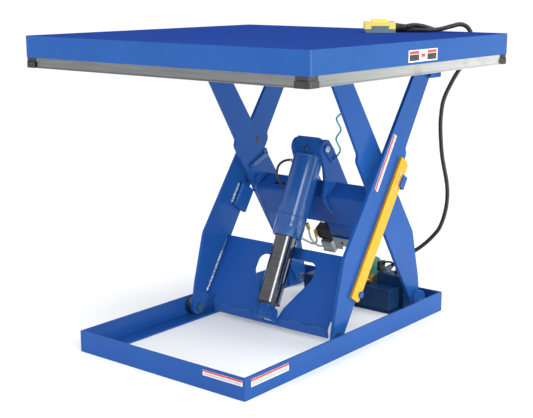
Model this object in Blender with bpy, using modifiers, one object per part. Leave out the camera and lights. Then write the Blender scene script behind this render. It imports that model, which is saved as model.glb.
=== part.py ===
"""Hydraulic scissor lift table, raised pose.  Metres, +Z up, +X to the back, -Y to the near side."""

import math

import bmesh
import bpy
from mathutils import Matrix, Vector

# ---------------------------------------------------------------- driving dimensions
DECK_SIDE = 1.2192
DECK_TOP = 1.0922
DECK_PLATE = 0.0064
SKIRT_DEPTH = 0.074
SKIRT_WALL = 0.0048
TRAVEL = 0.9017
BASE_LENGTH = 1.2192
BASE_WIDTH = 0.749
RAIL_HEIGHT = 0.0762
RAIL_WALL = 0.0064
PIVOT_X = 0.552
ROLLER_X = -0.050
LOW_PIVOT_Z = 0.038
TOP_PIVOT_Z = 0.978
INNER_LEG_Y = (0.2763, 0.2890)
OUTER_LEG_Y = (0.3203, 0.3330)
PIN_R = 0.0127
BORE_R = 0.01285
ROLLER_R = 0.0313
LEG_END = 0.034
TUBE_WALL = 0.0064
LEVER_Y = (0.0585, 0.0695)
KEEPER_U = (0.613, 0.661)
RAM_TOP = (0.240, 0.660)
RAM_FOOT = (-0.036, 0.075)
BARREL_R = 0.056
BARREL_BORE_R = 0.0440
BARREL_END = 0.354
ROD_R = 0.0425
GAP = 0.0003
CORD_R = 0.0085
HOSE_R = 0.0048
WIRE_R = 0.0035

SPAN_X = PIVOT_X - ROLLER_X
SPAN_Z = TOP_PIVOT_Z - LOW_PIVOT_Z
LEG_LENGTH = math.hypot(SPAN_X, SPAN_Z)
CENTRE = ((PIVOT_X + ROLLER_X) / 2, (LOW_PIVOT_Z + TOP_PIVOT_Z) / 2)
COS = SPAN_X / LEG_LENGTH
SIN = SPAN_Z / LEG_LENGTH

# ---------------------------------------------------------------- scene
for old in list(bpy.data.objects):
    bpy.data.objects.remove(old, do_unlink=True)
PARTS = bpy.data.collections.new("scissor_lift_table")
bpy.context.scene.collection.children.link(PARTS)
CUTTERS = bpy.data.collections.new("cutters")
bpy.context.scene.collection.children.link(CUTTERS)


# ---------------------------------------------------------------- finishes
# name: (colour, roughness, metallic, the starts of the names of the parts that have it)
FINISHES = {
    "blue_paint": ((0.030, 0.110, 0.420), 0.35, 0.0, (
        "base_rail", "base_bracket", "inner_leg", "outer_leg", "leg_stiffener", "torque_tube", "ram_lever",
        "cross_plate", "foot_bar", "ram_lug", "ram_barrel", "deck", "roller_track", "reservoir", "control_box",
        "centre_pin", "ram_eye",
    )),
    "green_paint": ((0.050, 0.300, 0.280), 0.40, 0.0, ("pump_motor",)),
    "brass": ((0.700, 0.500, 0.200), 0.30, 1.0, ("pump_block",)),
    "zinc_steel": ((0.550, 0.560, 0.580), 0.40, 1.0, (
        "base_pin", "deck_pin", "ram_pin", "foot_pin", "prop_bolt",
    )),
    "roller_steel": ((0.350, 0.360, 0.380), 0.35, 1.0, ("low_roller", "top_roller")),
    "chrome_rod": ((0.800, 0.800, 0.820), 0.08, 1.0, ("ram_rod",)),
    "yellow_paint": ((0.900, 0.550, 0.040), 0.35, 0.0, ("maintenance_prop",)),
    "guard_aluminium": ((0.600, 0.600, 0.600), 0.40, 1.0, ("toe_guard",)),
    "black_plastic": ((0.020, 0.020, 0.022), 0.55, 0.0, ("guard_corner", "strain_relief", "valve_block")),
    "conduit_black": ((0.015, 0.015, 0.017), 0.45, 0.0, ("conduit",)),
    "hose_rubber": ((0.015, 0.015, 0.015), 0.50, 0.0, ("ram_hose",)),
    "teal_wire": ((0.100, 0.450, 0.400), 0.40, 0.0, ("switch_wire",)),
    "yellow_plastic": ((0.900, 0.620, 0.060), 0.40, 0.0, ("pendant_front",)),
    "grey_plastic": ((0.300, 0.330, 0.360), 0.50, 0.0, ("pendant_back",)),
    "button_plastic": ((0.030, 0.030, 0.030), 0.30, 0.0, ("button_",)),
}


def finish_material(name):
    """The material of a part, made the first time that a part needs it."""
    best = ""
    for finish, (_, _, _, starts) in FINISHES.items():
        for start in starts:
            if name.startswith(start) and len(start) > len(best):
                best, chosen = start, finish
    if chosen in bpy.data.materials:
        return bpy.data.materials[chosen]
    colour, roughness, metallic, _ = FINISHES[chosen]
    material = bpy.data.materials.new(chosen)
    material.use_nodes = True
    shader = material.node_tree.nodes["Principled BSDF"]
    shader.inputs["Base Color"].default_value = (*colour, 1)
    shader.inputs["Roughness"].default_value = roughness
    shader.inputs["Metallic"].default_value = metallic
    return material


def place(obj, origin=(0, 0, 0)):
    """Finish and link a part whose mesh is in world coordinates, with its origin moved to a joint axis."""
    obj.data.transform(Matrix.Translation(-Vector(origin)))
    obj.location = origin
    obj.data.materials.append(finish_material(obj.name))
    obj.data.shade_smooth()
    obj.data.set_sharp_from_angle(angle=math.radians(35))
    PARTS.objects.link(obj)
    return obj


def helper(obj):
    """Link a cutter or a union piece, which is never rendered itself."""
    CUTTERS.objects.link(obj)
    obj.hide_render = True
    obj.display_type = "WIRE"
    return obj


def boolean(target, other, operation="DIFFERENCE"):
    modifier = target.modifiers.new(other.name, "BOOLEAN")
    modifier.operation = operation
    modifier.solver = "EXACT"
    modifier.object = helper(other)
    return target


def union(target, other):
    return boolean(target, other, "UNION")


# ---------------------------------------------------------------- shapes
def outline_mesh(name, loops, thickness):
    """A flat outline, with any holes, filled as a 2D curve and extruded about its own plane."""
    curve = bpy.data.curves.new(name, "CURVE")
    curve.dimensions = "2D"
    curve.fill_mode = "BOTH"
    curve.extrude = thickness / 2
    for loop in loops:
        spline = curve.splines.new("POLY")
        spline.points.add(len(loop) - 1)
        for point, (a, b) in zip(spline.points, loop):
            point.co = (a, b, 0, 1)
        spline.use_cyclic_u = True
    guide = bpy.data.objects.new(name, curve)
    bpy.context.scene.collection.objects.link(guide)
    graph = bpy.context.evaluated_depsgraph_get()
    mesh = bpy.data.meshes.new_from_object(guide.evaluated_get(graph))
    bpy.data.objects.remove(guide, do_unlink=True)
    shape = bmesh.new()
    shape.from_mesh(mesh)
    bmesh.ops.remove_doubles(shape, verts=shape.verts, dist=1e-6)
    bmesh.ops.recalc_face_normals(shape, faces=shape.faces)
    shape.to_mesh(mesh)
    shape.free()
    mesh.name = name
    return mesh


def plate(name, loops, y0, y1):
    """A plate whose outline is in the XZ plane, between two Y values."""
    mesh = outline_mesh(name, loops, abs(y1 - y0))
    mesh.transform(Matrix.Rotation(math.pi / 2, 4, "X"))
    mesh.transform(Matrix.Translation((0, (y0 + y1) / 2, 0)))
    return bpy.data.objects.new(name, mesh)


def slab(name, loops, z0, z1):
    """A plate whose outline is in the XY plane, between two Z values."""
    mesh = outline_mesh(name, loops, abs(z1 - z0))
    mesh.transform(Matrix.Translation((0, 0, (z0 + z1) / 2)))
    return bpy.data.objects.new(name, mesh)


def box(name, x, y, z):
    """A cube primitive scaled to three ranges."""
    mesh = bpy.data.meshes.new(name)
    shape = bmesh.new()
    size = (abs(x[1] - x[0]), abs(y[1] - y[0]), abs(z[1] - z[0]))
    middle = ((x[0] + x[1]) / 2, (y[0] + y[1]) / 2, (z[0] + z[1]) / 2)
    matrix = Matrix.Translation(middle) @ Matrix.Diagonal((*size, 1))
    bmesh.ops.create_cube(shape, size=1, matrix=matrix)
    shape.to_mesh(mesh)
    shape.free()
    return bpy.data.objects.new(name, mesh)


def bar(name, start, end, radius, sides=32):
    """A solid round bar between two points."""
    start = Vector(start)
    end = Vector(end)
    along = end - start
    matrix = Matrix.Translation((start + end) / 2) @ along.to_track_quat("Z", "X").to_matrix().to_4x4()
    mesh = bpy.data.meshes.new(name)
    shape = bmesh.new()
    bmesh.ops.create_cone(
        shape,
        cap_ends=True,
        segments=sides,
        radius1=radius,
        radius2=radius,
        depth=along.length,
        matrix=matrix,
    )
    shape.to_mesh(mesh)
    shape.free()
    return bpy.data.objects.new(name, mesh)


def cross_bar(name, xz, y0, y1, radius, sides=32):
    """A round bar across the table."""
    return bar(name, (xz[0], y0, xz[1]), (xz[0], y1, xz[1]), radius, sides)


def arc(centre, radius, start, end, steps):
    """Points of a circular arc, in degrees."""
    angles = [math.radians(start + (end - start) * i / steps) for i in range(steps + 1)]
    return [(centre[0] + radius * math.cos(a), centre[1] + radius * math.sin(a)) for a in angles]


def rounded(points, radius, steps=4):
    """A closed outline with every corner rounded; radius is one number or one for each corner."""
    radii = radius if isinstance(radius, (list, tuple)) else [radius] * len(points)
    made = []
    for i, corner in enumerate(points):
        here = Vector(corner)
        before = (Vector(points[i - 1]) - here).normalized()
        after = (Vector(points[(i + 1) % len(points)]) - here).normalized()
        if radii[i] <= 0:
            made.append(tuple(here))
            continue
        half = before.angle(after) / 2
        reach = radii[i] / math.tan(half)
        middle = here + (before + after).normalized() * radii[i] / math.sin(half)
        first = here + before * reach - middle
        last = here + after * reach - middle
        turn = first.angle_signed(last)
        for k in range(steps + 1):
            made.append(tuple(middle + Matrix.Rotation(-turn * k / steps, 2) @ first))
    return made


def rounded_rectangle(x0, x1, y0, y1, radius, steps=4):
    return rounded([(x0, y0), (x1, y0), (x1, y1), (x0, y1)], radius, steps)


def bevelled(obj, width, segments=2, angle=40):
    modifier = obj.modifiers.new("edge", "BEVEL")
    modifier.width = width
    modifier.segments = segments
    modifier.limit_method = "ANGLE"
    modifier.angle_limit = math.radians(angle)
    return obj


def smooth_route(points, spacing):
    """Evenly spaced points on a Catmull-Rom curve through the route points."""
    route = [Vector(p) for p in points]
    ends = [route[0] * 2 - route[1]] + route + [route[-1] * 2 - route[-2]]
    fine = []
    for i in range(1, len(ends) - 2):
        a, b, c, d = ends[i - 1 : i + 3]
        for k in range(24):
            t = k / 24
            fine.append(
                0.5 * ((2 * b) + (c - a) * t + (2 * a - 5 * b + 4 * c - d) * t * t
                       + (3 * b - 3 * c + d - a) * t ** 3)
            )
    fine.append(route[-1])
    total = sum((q - p).length for p, q in zip(fine, fine[1:]))
    count = max(4, round(total / spacing))
    even = [fine[0]]
    walked = 0.0
    for p, q in zip(fine, fine[1:]):
        step = (q - p).length
        while len(even) < count and walked + step >= total * len(even) / count - 1e-9:
            even.append(p.lerp(q, (total * len(even) / count - walked) / step))
        walked += step
    even.append(fine[-1])
    return even


def tube(name, points, radius, spacing, origin=(0, 0, 0)):
    """A cord: one open poly spline with a round bevel."""
    curve = bpy.data.curves.new(name, "CURVE")
    curve.dimensions = "3D"
    curve.bevel_depth = radius
    curve.bevel_resolution = 2
    curve.use_fill_caps = True
    route = smooth_route(points, spacing)
    spline = curve.splines.new("POLY")
    spline.points.add(len(route) - 1)
    for point, p in zip(spline.points, route):
        point.co = (*(p - Vector(origin)), 1)
    curve.materials.append(finish_material(name))
    obj = bpy.data.objects.new(name, curve)
    obj.location = origin
    PARTS.objects.link(obj)
    return obj


def inner(u, v):
    """World (x, z) of a point on the inner frame: u up its legs from the centre pivot, v upwards."""
    return (CENTRE[0] - u * COS + v * SIN, CENTRE[1] + u * SIN + v * COS)


def outer(u, v):
    """World (x, z) of a point on the outer frame: u up its legs from the bottom rollers, v upwards."""
    return (ROLLER_X + u * COS - v * SIN, LOW_PIVOT_Z + u * SIN + v * COS)


CENTRE_AXIS = (CENTRE[0], 0, CENTRE[1])
BASE_AXIS = (PIVOT_X, 0, LOW_PIVOT_Z)
DECK_AXIS = (PIVOT_X, 0, TOP_PIVOT_Z)
RAM_AXIS = (RAM_TOP[0], 0, RAM_TOP[1])
FOOT_AXIS = (RAM_FOOT[0], 0, RAM_FOOT[1])
SIDES = (("near", -1), ("far", 1))

# ---------------------------------------------------------------- base frame
HALF_L = BASE_LENGTH / 2
HALF_W = BASE_WIDTH / 2
FLANGE = 0.0762
for side, s in SIDES:
    rail = box(f"base_rail_{side}", (-HALF_L, HALF_L), (s * HALF_W, s * (HALF_W - FLANGE)), (0, RAIL_HEIGHT))
    room = box(
        f"rail_room_{side}",
        (-HALF_L - 0.01, HALF_L + 0.01),
        (s * (HALF_W - RAIL_WALL), s * (HALF_W - FLANGE - 0.01)),
        (RAIL_WALL, RAIL_HEIGHT + 0.01),
    )
    place(boolean(rail, room))
END_Y = HALF_W - RAIL_WALL - GAP
for end, s in (("front", -1), ("back", 1)):
    rail = box(f"base_rail_{end}", (s * HALF_L, s * (HALF_L - RAIL_WALL)), (-END_Y, END_Y), (0, RAIL_HEIGHT))
    for side, t in SIDES:
        corner = box(
            f"rail_corner_{end}_{side}",
            (s * (HALF_L + 0.01), s * (HALF_L - 0.02)),
            (t * (HALF_W - FLANGE - GAP), t * HALF_W),
            (-0.01, RAIL_WALL + GAP),
        )
        boolean(rail, corner)
    place(rail)

for side, s in SIDES:
    foot = RAIL_WALL + GAP
    bracket_outline = (
        [(PIVOT_X - 0.047, foot), (PIVOT_X + 0.033, foot)]
        + arc((PIVOT_X, LOW_PIVOT_Z + 0.012), 0.033, 0, 60, 4)
        + [(PIVOT_X - 0.030, 0.090), (PIVOT_X - 0.047, 0.074)]
    )
    bore = arc((PIVOT_X, LOW_PIVOT_Z), BORE_R, 0, 348.75, 31)
    place(plate(f"base_bracket_{side}", [bracket_outline, bore], s * 0.300, s * 0.3127))
    pin = cross_bar(f"base_pin_{side}", (PIVOT_X, LOW_PIVOT_Z), s * 0.2690, s * 0.3175, PIN_R)
    head = cross_bar(f"base_pin_head_{side}", (PIVOT_X, LOW_PIVOT_Z), s * 0.2680, s * 0.2757, 0.0195)
    place(union(pin, head))

# ---------------------------------------------------------------- power unit, inside the base
tank = box("reservoir", (0.440, 0.520), (-0.235, 0.180), (0.004, 0.092))
place(bevelled(tank, 0.006))
motor = bar("pump_motor", (0.5622, -0.070, 0.0310), (0.5622, -0.070, 0.1720), 0.0380, 32)
place(bevelled(motor, 0.004))
pump = box("pump_block", (0.5245, 0.5950), (-0.112, -0.028), (0.004, 0.0305))
place(bevelled(pump, 0.002, 1))
control = box("control_box", (0.5240, 0.5960), (-0.255, -0.125), (0.004, 0.130))
place(bevelled(control, 0.004))

# ---------------------------------------------------------------- legs
LEG_OUTLINE = (
    arc((0, 0), 0.030, 270, 115, 8)
    + [(0.070, 0.063), (0.250, 0.1215), (0.265, 0.1255), (0.283, 0.1245)]
    + [(LEG_LENGTH, 0.0845), (LEG_LENGTH + 0.012, 0.0760)]
    + [(LEG_LENGTH + LEG_END, 0.050)]
    + arc((LEG_LENGTH, 0), LEG_END, 0, -90, 5)
    + [(LEG_LENGTH - 0.028, -0.030), (LEG_LENGTH - 0.055, -0.0105)]
    + [(0.771, -0.0130), (0.762, -0.0155), (0.750, -0.0285), (0.738, -0.0320)]
    + [(0.040, -0.0265)]
)


def leg_bore(frame, along):
    """One round hole in a leg, at a distance up from its bottom pivot."""
    return [frame(u, v) for u, v in arc((along, 0), BORE_R, 0, 348.75, 31)]


def inner_from_base(u, v):
    return inner(u - LEG_LENGTH / 2, v)


for side, s in SIDES:
    loops = [[inner_from_base(u, v) for u, v in LEG_OUTLINE]]
    loops.append(leg_bore(inner_from_base, 0))
    loops.append(leg_bore(inner_from_base, LEG_LENGTH / 2))
    leg = plate(f"inner_leg_{side}", loops, s * INNER_LEG_Y[0], s * INNER_LEG_Y[1])
    top = inner_from_base(LEG_LENGTH, 0)
    axle = cross_bar(f"top_axle_{side}", top, s * (INNER_LEG_Y[1] - 0.004), s * 0.3153, PIN_R)
    place(union(leg, axle), BASE_AXIS)

    loops = [[outer(u, v) for u, v in LEG_OUTLINE]]
    loops.append(leg_bore(outer, LEG_LENGTH / 2))
    loops.append(leg_bore(outer, LEG_LENGTH))
    leg = plate(f"outer_leg_{side}", loops, s * OUTER_LEG_Y[0], s * OUTER_LEG_Y[1])
    axle = cross_bar(f"low_axle_{side}", outer(0, 0), s * (OUTER_LEG_Y[1] - 0.004), s * 0.3664, PIN_R)
    union(leg, axle)
    boss = cross_bar(f"low_boss_{side}", outer(0, 0), s * (OUTER_LEG_Y[0] + 0.004), s * 0.3150, 0.0150)
    union(leg, boss)
    if side == "near":
        low, high = KEEPER_U
        for name, v0, v1, y0, y1 in (
            ("web", -0.0505, -0.0250, -0.3330, -0.3255),
            ("reach", -0.0505, -0.0465, -0.3590, -0.3300),
            ("lip", -0.0505, -0.0200, -0.3590, -0.3545),
        ):
            shape = [outer(u, v) for u, v in [(low, v0), (high, v0), (high, v1), (low, v1)]]
            union(leg, plate(f"prop_keeper_{name}", [shape], y0, y1))
    place(leg, CENTRE_AXIS)

    pin = cross_bar(f"centre_pin_{side}", CENTRE, s * 0.2690, s * 0.3328, PIN_R)
    union(pin, cross_bar(f"centre_pin_collar_{side}", CENTRE, s * 0.2894, s * 0.3199, 0.0200))
    union(pin, cross_bar(f"centre_pin_nut_{side}", CENTRE, s * 0.2660, s * 0.2757, 0.0190, 6))
    place(pin, CENTRE_AXIS)

    stiff_low = 0.4205
    stiff_high = LEG_LENGTH / 2 - 0.035
    corners = [(stiff_low, -0.041), (stiff_high, -0.041), (stiff_high, 0.040), (stiff_low, 0.040)]
    stiffener = plate(
        f"leg_stiffener_{side}",
        [[outer(u, v) for u, v in corners]],
        s * 0.2990,
        s * (OUTER_LEG_Y[0] - GAP),
    )
    place(bevelled(stiffener, 0.006, 2), CENTRE_AXIS)

# ---------------------------------------------------------------- inner frame: torque tube and levers
TUBE_U = (-0.163, -0.019)
TUBE_V = (-0.028, 0.064)
TUBE_Y = INNER_LEG_Y[0] - GAP
tube_outside = [(TUBE_U[0], TUBE_V[0]), (TUBE_U[1], TUBE_V[0]), (TUBE_U[1], TUBE_V[1]), (TUBE_U[0], TUBE_V[1])]
tube_inside = [
    (TUBE_U[0] + TUBE_WALL, TUBE_V[0] + TUBE_WALL),
    (TUBE_U[1] - TUBE_WALL, TUBE_V[0] + TUBE_WALL),
    (TUBE_U[1] - TUBE_WALL, TUBE_V[1] - TUBE_WALL),
    (TUBE_U[0] + TUBE_WALL, TUBE_V[1] - TUBE_WALL),
]
torque_tube = plate(
    "torque_tube",
    [
        [inner(u, v) for u, v in rounded(tube_outside, 0.009, 4)],
        [inner(u, v) for u, v in rounded(tube_inside, 0.003, 2)],
    ],
    -TUBE_Y,
    TUBE_Y,
)
slot_outline = [inner(u, v) for u, v in [(-0.030, 0.004), (0.0, 0.004), (0.0, 0.020), (-0.030, 0.020)]]
boolean(torque_tube, plate("tube_slot", [slot_outline], 0.150, 0.205))
place(torque_tube, BASE_AXIS)

ram_uv = (
    -(RAM_TOP[0] - CENTRE[0]) * COS + (RAM_TOP[1] - CENTRE[1]) * SIN,
    (RAM_TOP[0] - CENTRE[0]) * SIN + (RAM_TOP[1] - CENTRE[1]) * COS,
)
top_face = TUBE_U[1] + GAP
back_face = TUBE_V[1] + GAP
front_face = TUBE_V[0] - GAP
LEVER_OUTLINE = (
    [(top_face, front_face), (top_face, back_face), (-0.105, back_face), (-0.105, 0.090), (-0.078, 0.1145)]
    + [(0.105, 0.1120)]
    + arc(ram_uv, 0.0355, 60, -62, 8)
    + [(0.121, 0.0345), (0.0765, 0.0225), (0.0300, 0.0020), (0.0090, -0.0199), (-0.0015, -0.0350)]
    + [(-0.0120, -0.0400), (-0.0250, -0.0415), (-0.0575, -0.0372), (-0.0880, -0.0305), (-0.0895, front_face)]
)
LEVER_BORE = arc(ram_uv, 0.01665, 0, 348.75, 31)
for side, s in SIDES:
    loops = [[inner(u, v) for u, v in LEVER_OUTLINE], [inner(u, v) for u, v in LEVER_BORE]]
    place(plate(f"ram_lever_{side}", loops, s * LEVER_Y[0], s * LEVER_Y[1]), BASE_AXIS)
ram_pin = cross_bar("ram_pin", RAM_TOP, -0.0735, 0.0800, 0.0165)
union(ram_pin, cross_bar("ram_pin_head", RAM_TOP, 0.0700, 0.0790, 0.0220))
place(ram_pin, BASE_AXIS)

# ---------------------------------------------------------------- valve group behind the torque tube
valve_box = [inner(u, v) for u, v in [(-0.2420, -0.010), (-0.1900, -0.010), (-0.1900, 0.026), (-0.2420, 0.026)]]
valve = plate("valve_block", [valve_box], -0.030, 0.022)
bracket = [inner(u, v) for u, v in [(-0.2450, -0.016), (-0.1635, -0.016), (-0.1635, -0.0095), (-0.2450, -0.0095)]]
union(valve, plate("valve_bracket", [bracket], -0.050, 0.060))
place(valve, BASE_AXIS)

# ---------------------------------------------------------------- outer frame: cross plate, bar and lugs
PLATE_V = (-0.0165, -0.0085)
PLATE_U = (0.0343, 0.310)
CROSS_Y = OUTER_LEG_Y[0] - GAP
NOTCH_Y = 0.268
half = [
    (-NOTCH_Y, PLATE_U[0]),
    (-NOTCH_Y, PLATE_U[0] + 0.030),
    (-CROSS_Y, PLATE_U[0] + 0.030),
    (-CROSS_Y, PLATE_U[1]),
]
outline = half + [(-y, u) for y, u in reversed(half)]
mouth = rounded(
    [
        (-0.047, PLATE_U[0]),
        (-0.058, 0.074),
        (-0.135, 0.199),
        (-0.135, 0.266),
        (0.135, 0.266),
        (0.135, 0.199),
        (0.058, 0.074),
        (0.047, PLATE_U[0]),
    ],
    [0, 0.02, 0.03, 0.03, 0.03, 0.03, 0.02, 0],
)
mouth.reverse()
cross = outline_mesh("cross_plate", [outline + mouth], PLATE_V[1] - PLATE_V[0])
ACROSS = Vector((0, 1, 0))
UP_LEG = Vector((COS, 0, SIN))
OUT = ACROSS.cross(UP_LEG)
plate_frame = Matrix((ACROSS, UP_LEG, OUT)).transposed().to_4x4()
middle_v = (PLATE_V[0] + PLATE_V[1]) / 2
start = outer(0, middle_v)
plate_frame = Matrix.Translation((start[0], 0, start[1])) @ plate_frame
cross.transform(plate_frame)
cross_plate = bpy.data.objects.new("cross_plate", cross)
place(cross_plate, CENTRE_AXIS)

lower = [(0.0340, -0.0085), (0.0080, -0.0352), (0.0125, -0.0365), (0.0340, -0.0165)]
foot_bar = plate("foot_bar", [[outer(u, v) for u, v in lower]], -0.268, 0.268)
relief = [(0.0190, -0.060), (0.060, -0.060), (0.060, 0.020), (0.0190, 0.020)]
boolean(foot_bar, plate("foot_relief", [[outer(u, v) for u, v in relief]], -0.0255, 0.0255))
place(foot_bar, CENTRE_AXIS)

FOOT_UV = (0.03870, 0.00820)
LUG = arc(FOOT_UV, 0.022, -52, 196, 12) + [(0.0155, -0.0262), (0.0345, -0.0066)]
for side, s in SIDES:
    lug = plate(f"ram_lug_{side}", [[outer(u, v) for u, v in LUG]], s * 0.0262, s * 0.0400)
    cap = cross_bar(f"lug_cap_{side}", RAM_FOOT, s * 0.0380, s * 0.0470, 0.0130)
    place(union(lug, cap), CENTRE_AXIS)

# ---------------------------------------------------------------- ram
RAM_AXIS_DIR = (Vector((RAM_FOOT[0], 0, RAM_FOOT[1])) - Vector((RAM_TOP[0], 0, RAM_TOP[1]))).normalized()
RAM_LENGTH = math.dist(RAM_TOP, RAM_FOOT)


def ram_point(distance):
    """A point on the ram's centreline, at a distance from its top pin."""
    return Vector((RAM_TOP[0], 0, RAM_TOP[1])) + RAM_AXIS_DIR * distance


PORT_SIDE = ACROSS.cross(RAM_AXIS_DIR)
RAM_TURN = Matrix((PORT_SIDE, ACROSS, RAM_AXIS_DIR)).transposed().to_4x4()
barrel = bar("ram_barrel", ram_point(0.038), ram_point(BARREL_END), BARREL_R, 40)
ring = bar("barrel_ring", ram_point(0.306), ram_point(0.318), 0.0575, 40)
union(barrel, ring)
block = box("barrel_head", (-0.035, 0.035), (-0.050, 0.050), (-0.032, 0.042))
block.data.transform(Matrix.Translation(ram_point(0)) @ RAM_TURN)
union(barrel, block)
port_start = ram_point(0.016) + PORT_SIDE * 0.032
port_bar = bar("barrel_port", port_start, port_start + PORT_SIDE * 0.010, 0.0110, 16)
union(barrel, port_bar)
boolean(barrel, bar("barrel_bore", ram_point(0.048), ram_point(BARREL_END + 0.02), BARREL_BORE_R, 40))
boolean(barrel, cross_bar("barrel_pin_hole", RAM_TOP, -0.06, 0.06, 0.01665))
place(barrel, RAM_AXIS)

rod = bar("ram_rod", ram_point(0.300), ram_point(0.6125), ROD_R, 40)
place(rod, FOOT_AXIS)
eye = bar("ram_eye", ram_point(0.6128), ram_point(0.6220), 0.0300, 24)
shank = box("eye_shank", (-0.018, 0.018), (-0.0225, 0.0225), (0.6200, RAM_LENGTH))
shank.data.transform(Matrix.Translation((RAM_TOP[0], 0, RAM_TOP[1])) @ RAM_TURN)
union(eye, shank)
union(eye, cross_bar("eye_ring", RAM_FOOT, -0.0225, 0.0225, 0.0210))
boolean(eye, cross_bar("eye_hole", RAM_FOOT, -0.04, 0.04, 0.01215))
place(eye, FOOT_AXIS)
place(cross_bar("foot_pin", RAM_FOOT, -0.0245, 0.0245, 0.0120), FOOT_AXIS)

# ---------------------------------------------------------------- maintenance prop
PROP_PIVOT = (0.187, -0.023)
prop_corners = [(0.158, 0.023), (0.158, -0.023), (0.166, -0.0293), (0.708, -0.0470), (0.718, -0.030), (0.718, 0.009)]
prop_bore = [outer(u, v) for u, v in arc(PROP_PIVOT, 0.00815, 0, 345, 23)]
prop_axis = outer(*PROP_PIVOT)
prop = plate("maintenance_prop", [[outer(u, v) for u, v in prop_corners], prop_bore], -0.3460, -0.3360)
place(prop, (prop_axis[0], 0, prop_axis[1]))
prop_bolt = cross_bar("prop_bolt", prop_axis, -0.3333, -0.3500, 0.0080, 24)
union(prop_bolt, cross_bar("prop_bolt_head", prop_axis, -0.3463, -0.3525, 0.0130, 6))
union(prop_bolt, cross_bar("prop_bolt_collar", prop_axis, -0.3333, -0.3357, 0.0130, 24))
place(prop_bolt, CENTRE_AXIS)

# ---------------------------------------------------------------- rollers
for side, s in SIDES:
    roller = cross_bar(f"low_roller_{side}", outer(0, 0), s * 0.3360, s * 0.3640, ROLLER_R, 40)
    boolean(roller, cross_bar(f"low_roller_bore_{side}", outer(0, 0), s * 0.33, s * 0.37, BORE_R))
    low = outer(0, 0)
    place(roller, (low[0], 0, low[1]))
    high = inner_from_base(LEG_LENGTH, 0)
    roller = cross_bar(f"top_roller_{side}", high, s * 0.2930, s * 0.3138, ROLLER_R, 40)
    boolean(roller, cross_bar(f"top_roller_bore_{side}", high, s * 0.28, s * 0.32, BORE_R))
    place(roller, (high[0], 0, high[1]))

# ---------------------------------------------------------------- platform
HALF_D = DECK_SIDE / 2
UNDER = DECK_TOP - DECK_PLATE
SKIRT_Z = DECK_TOP - SKIRT_DEPTH
DECK_ROUNDING = 0.007
deck = slab("deck", [rounded_rectangle(-HALF_D, HALF_D, -HALF_D, HALF_D, 0.014, 4)], SKIRT_Z - 0.02, DECK_TOP)
deck = bevelled(deck, DECK_ROUNDING, 3)
below = HALF_D + 0.01
boolean(deck, slab("deck_below", [rounded_rectangle(-below, below, -below, below, 0.010, 2)], SKIRT_Z - 0.04, SKIRT_Z))
INSIDE = HALF_D - SKIRT_WALL
boolean(deck, slab("deck_inside", [rounded_rectangle(-INSIDE, INSIDE, -INSIDE, INSIDE, 0.009, 4)], SKIRT_Z - 0.01, UNDER))
place(deck, DECK_AXIS)

for side, s in SIDES:
    hang = UNDER - GAP
    x0, x1, z0 = PIVOT_X - 0.037, PIVOT_X + 0.0395, 0.9220
    corners = [(x0, z0), (x1, z0), (x1, hang), (x0, hang)]
    bore = arc((PIVOT_X, TOP_PIVOT_Z), BORE_R, 0, 348.75, 31)
    place(plate(f"deck_bracket_{side}", [rounded(corners, [0.006, 0.006, 0, 0], 3), bore], s * 0.3343, s * 0.3470), DECK_AXIS)
    pin = cross_bar(f"deck_pin_{side}", (PIVOT_X, TOP_PIVOT_Z), s * 0.3140, s * 0.3535, PIN_R)
    union(pin, cross_bar(f"deck_pin_head_{side}", (PIVOT_X, TOP_PIVOT_Z), s * 0.3136, s * 0.3198, 0.0185))
    place(pin, DECK_AXIS)

    track = box(f"roller_track_{side}", (-0.597, 0.030), (s * 0.2915, s * 0.3198), (1.0096, hang))
    room = box(f"track_room_{side}", (-0.62, 0.05), (s * 0.28, s * 0.3148), (1.0156, hang + 0.01))
    place(boolean(track, room), DECK_AXIS)

# ---------------------------------------------------------------- toe guard
GUARD_OUT = HALF_D - SKIRT_WALL - 0.0010
GUARD_IN = GUARD_OUT - 0.0030
GUARD_Z = (0.9835, 1.0450)
ring_out = rounded_rectangle(-GUARD_OUT, GUARD_OUT, -GUARD_OUT, GUARD_OUT, 0.0090, 3)
ring_in = rounded_rectangle(-GUARD_IN, GUARD_IN, -GUARD_IN, GUARD_IN, 0.0060, 3)
guard = slab("toe_guard", [ring_out, ring_in], *GUARD_Z)
LIP = HALF_D - 0.0012
lip_out = rounded_rectangle(-LIP, LIP, -LIP, LIP, 0.0130, 3)
union(guard, slab("guard_lip", [lip_out, ring_in], GUARD_Z[0], GUARD_Z[0] + 0.0030))
place(guard, DECK_AXIS)
CORNER = 0.052
for end, a in (("front", -1), ("back", 1)):
    for side, b in SIDES:
        name = f"guard_corner_{end}_{side}"
        shell = slab(name, [rounded_rectangle(-HALF_D + 0.0005, HALF_D - 0.0005, -HALF_D + 0.0005, HALF_D - 0.0005, 0.0135, 4)],
                     0.9830, 1.0040)
        inside = LIP + GAP
        boolean(shell, slab(f"{name}_inside", [rounded_rectangle(-inside, inside, -inside, inside, 0.0132, 4)], 0.98, 1.01))
        keep = box(f"{name}_keep", (a * (HALF_D - CORNER), a * (HALF_D + 0.01)),
                   (b * (HALF_D - CORNER), b * (HALF_D + 0.01)), (0.97, 1.02))
        boolean(shell, keep, "INTERSECT")
        place(shell, DECK_AXIS)

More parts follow.
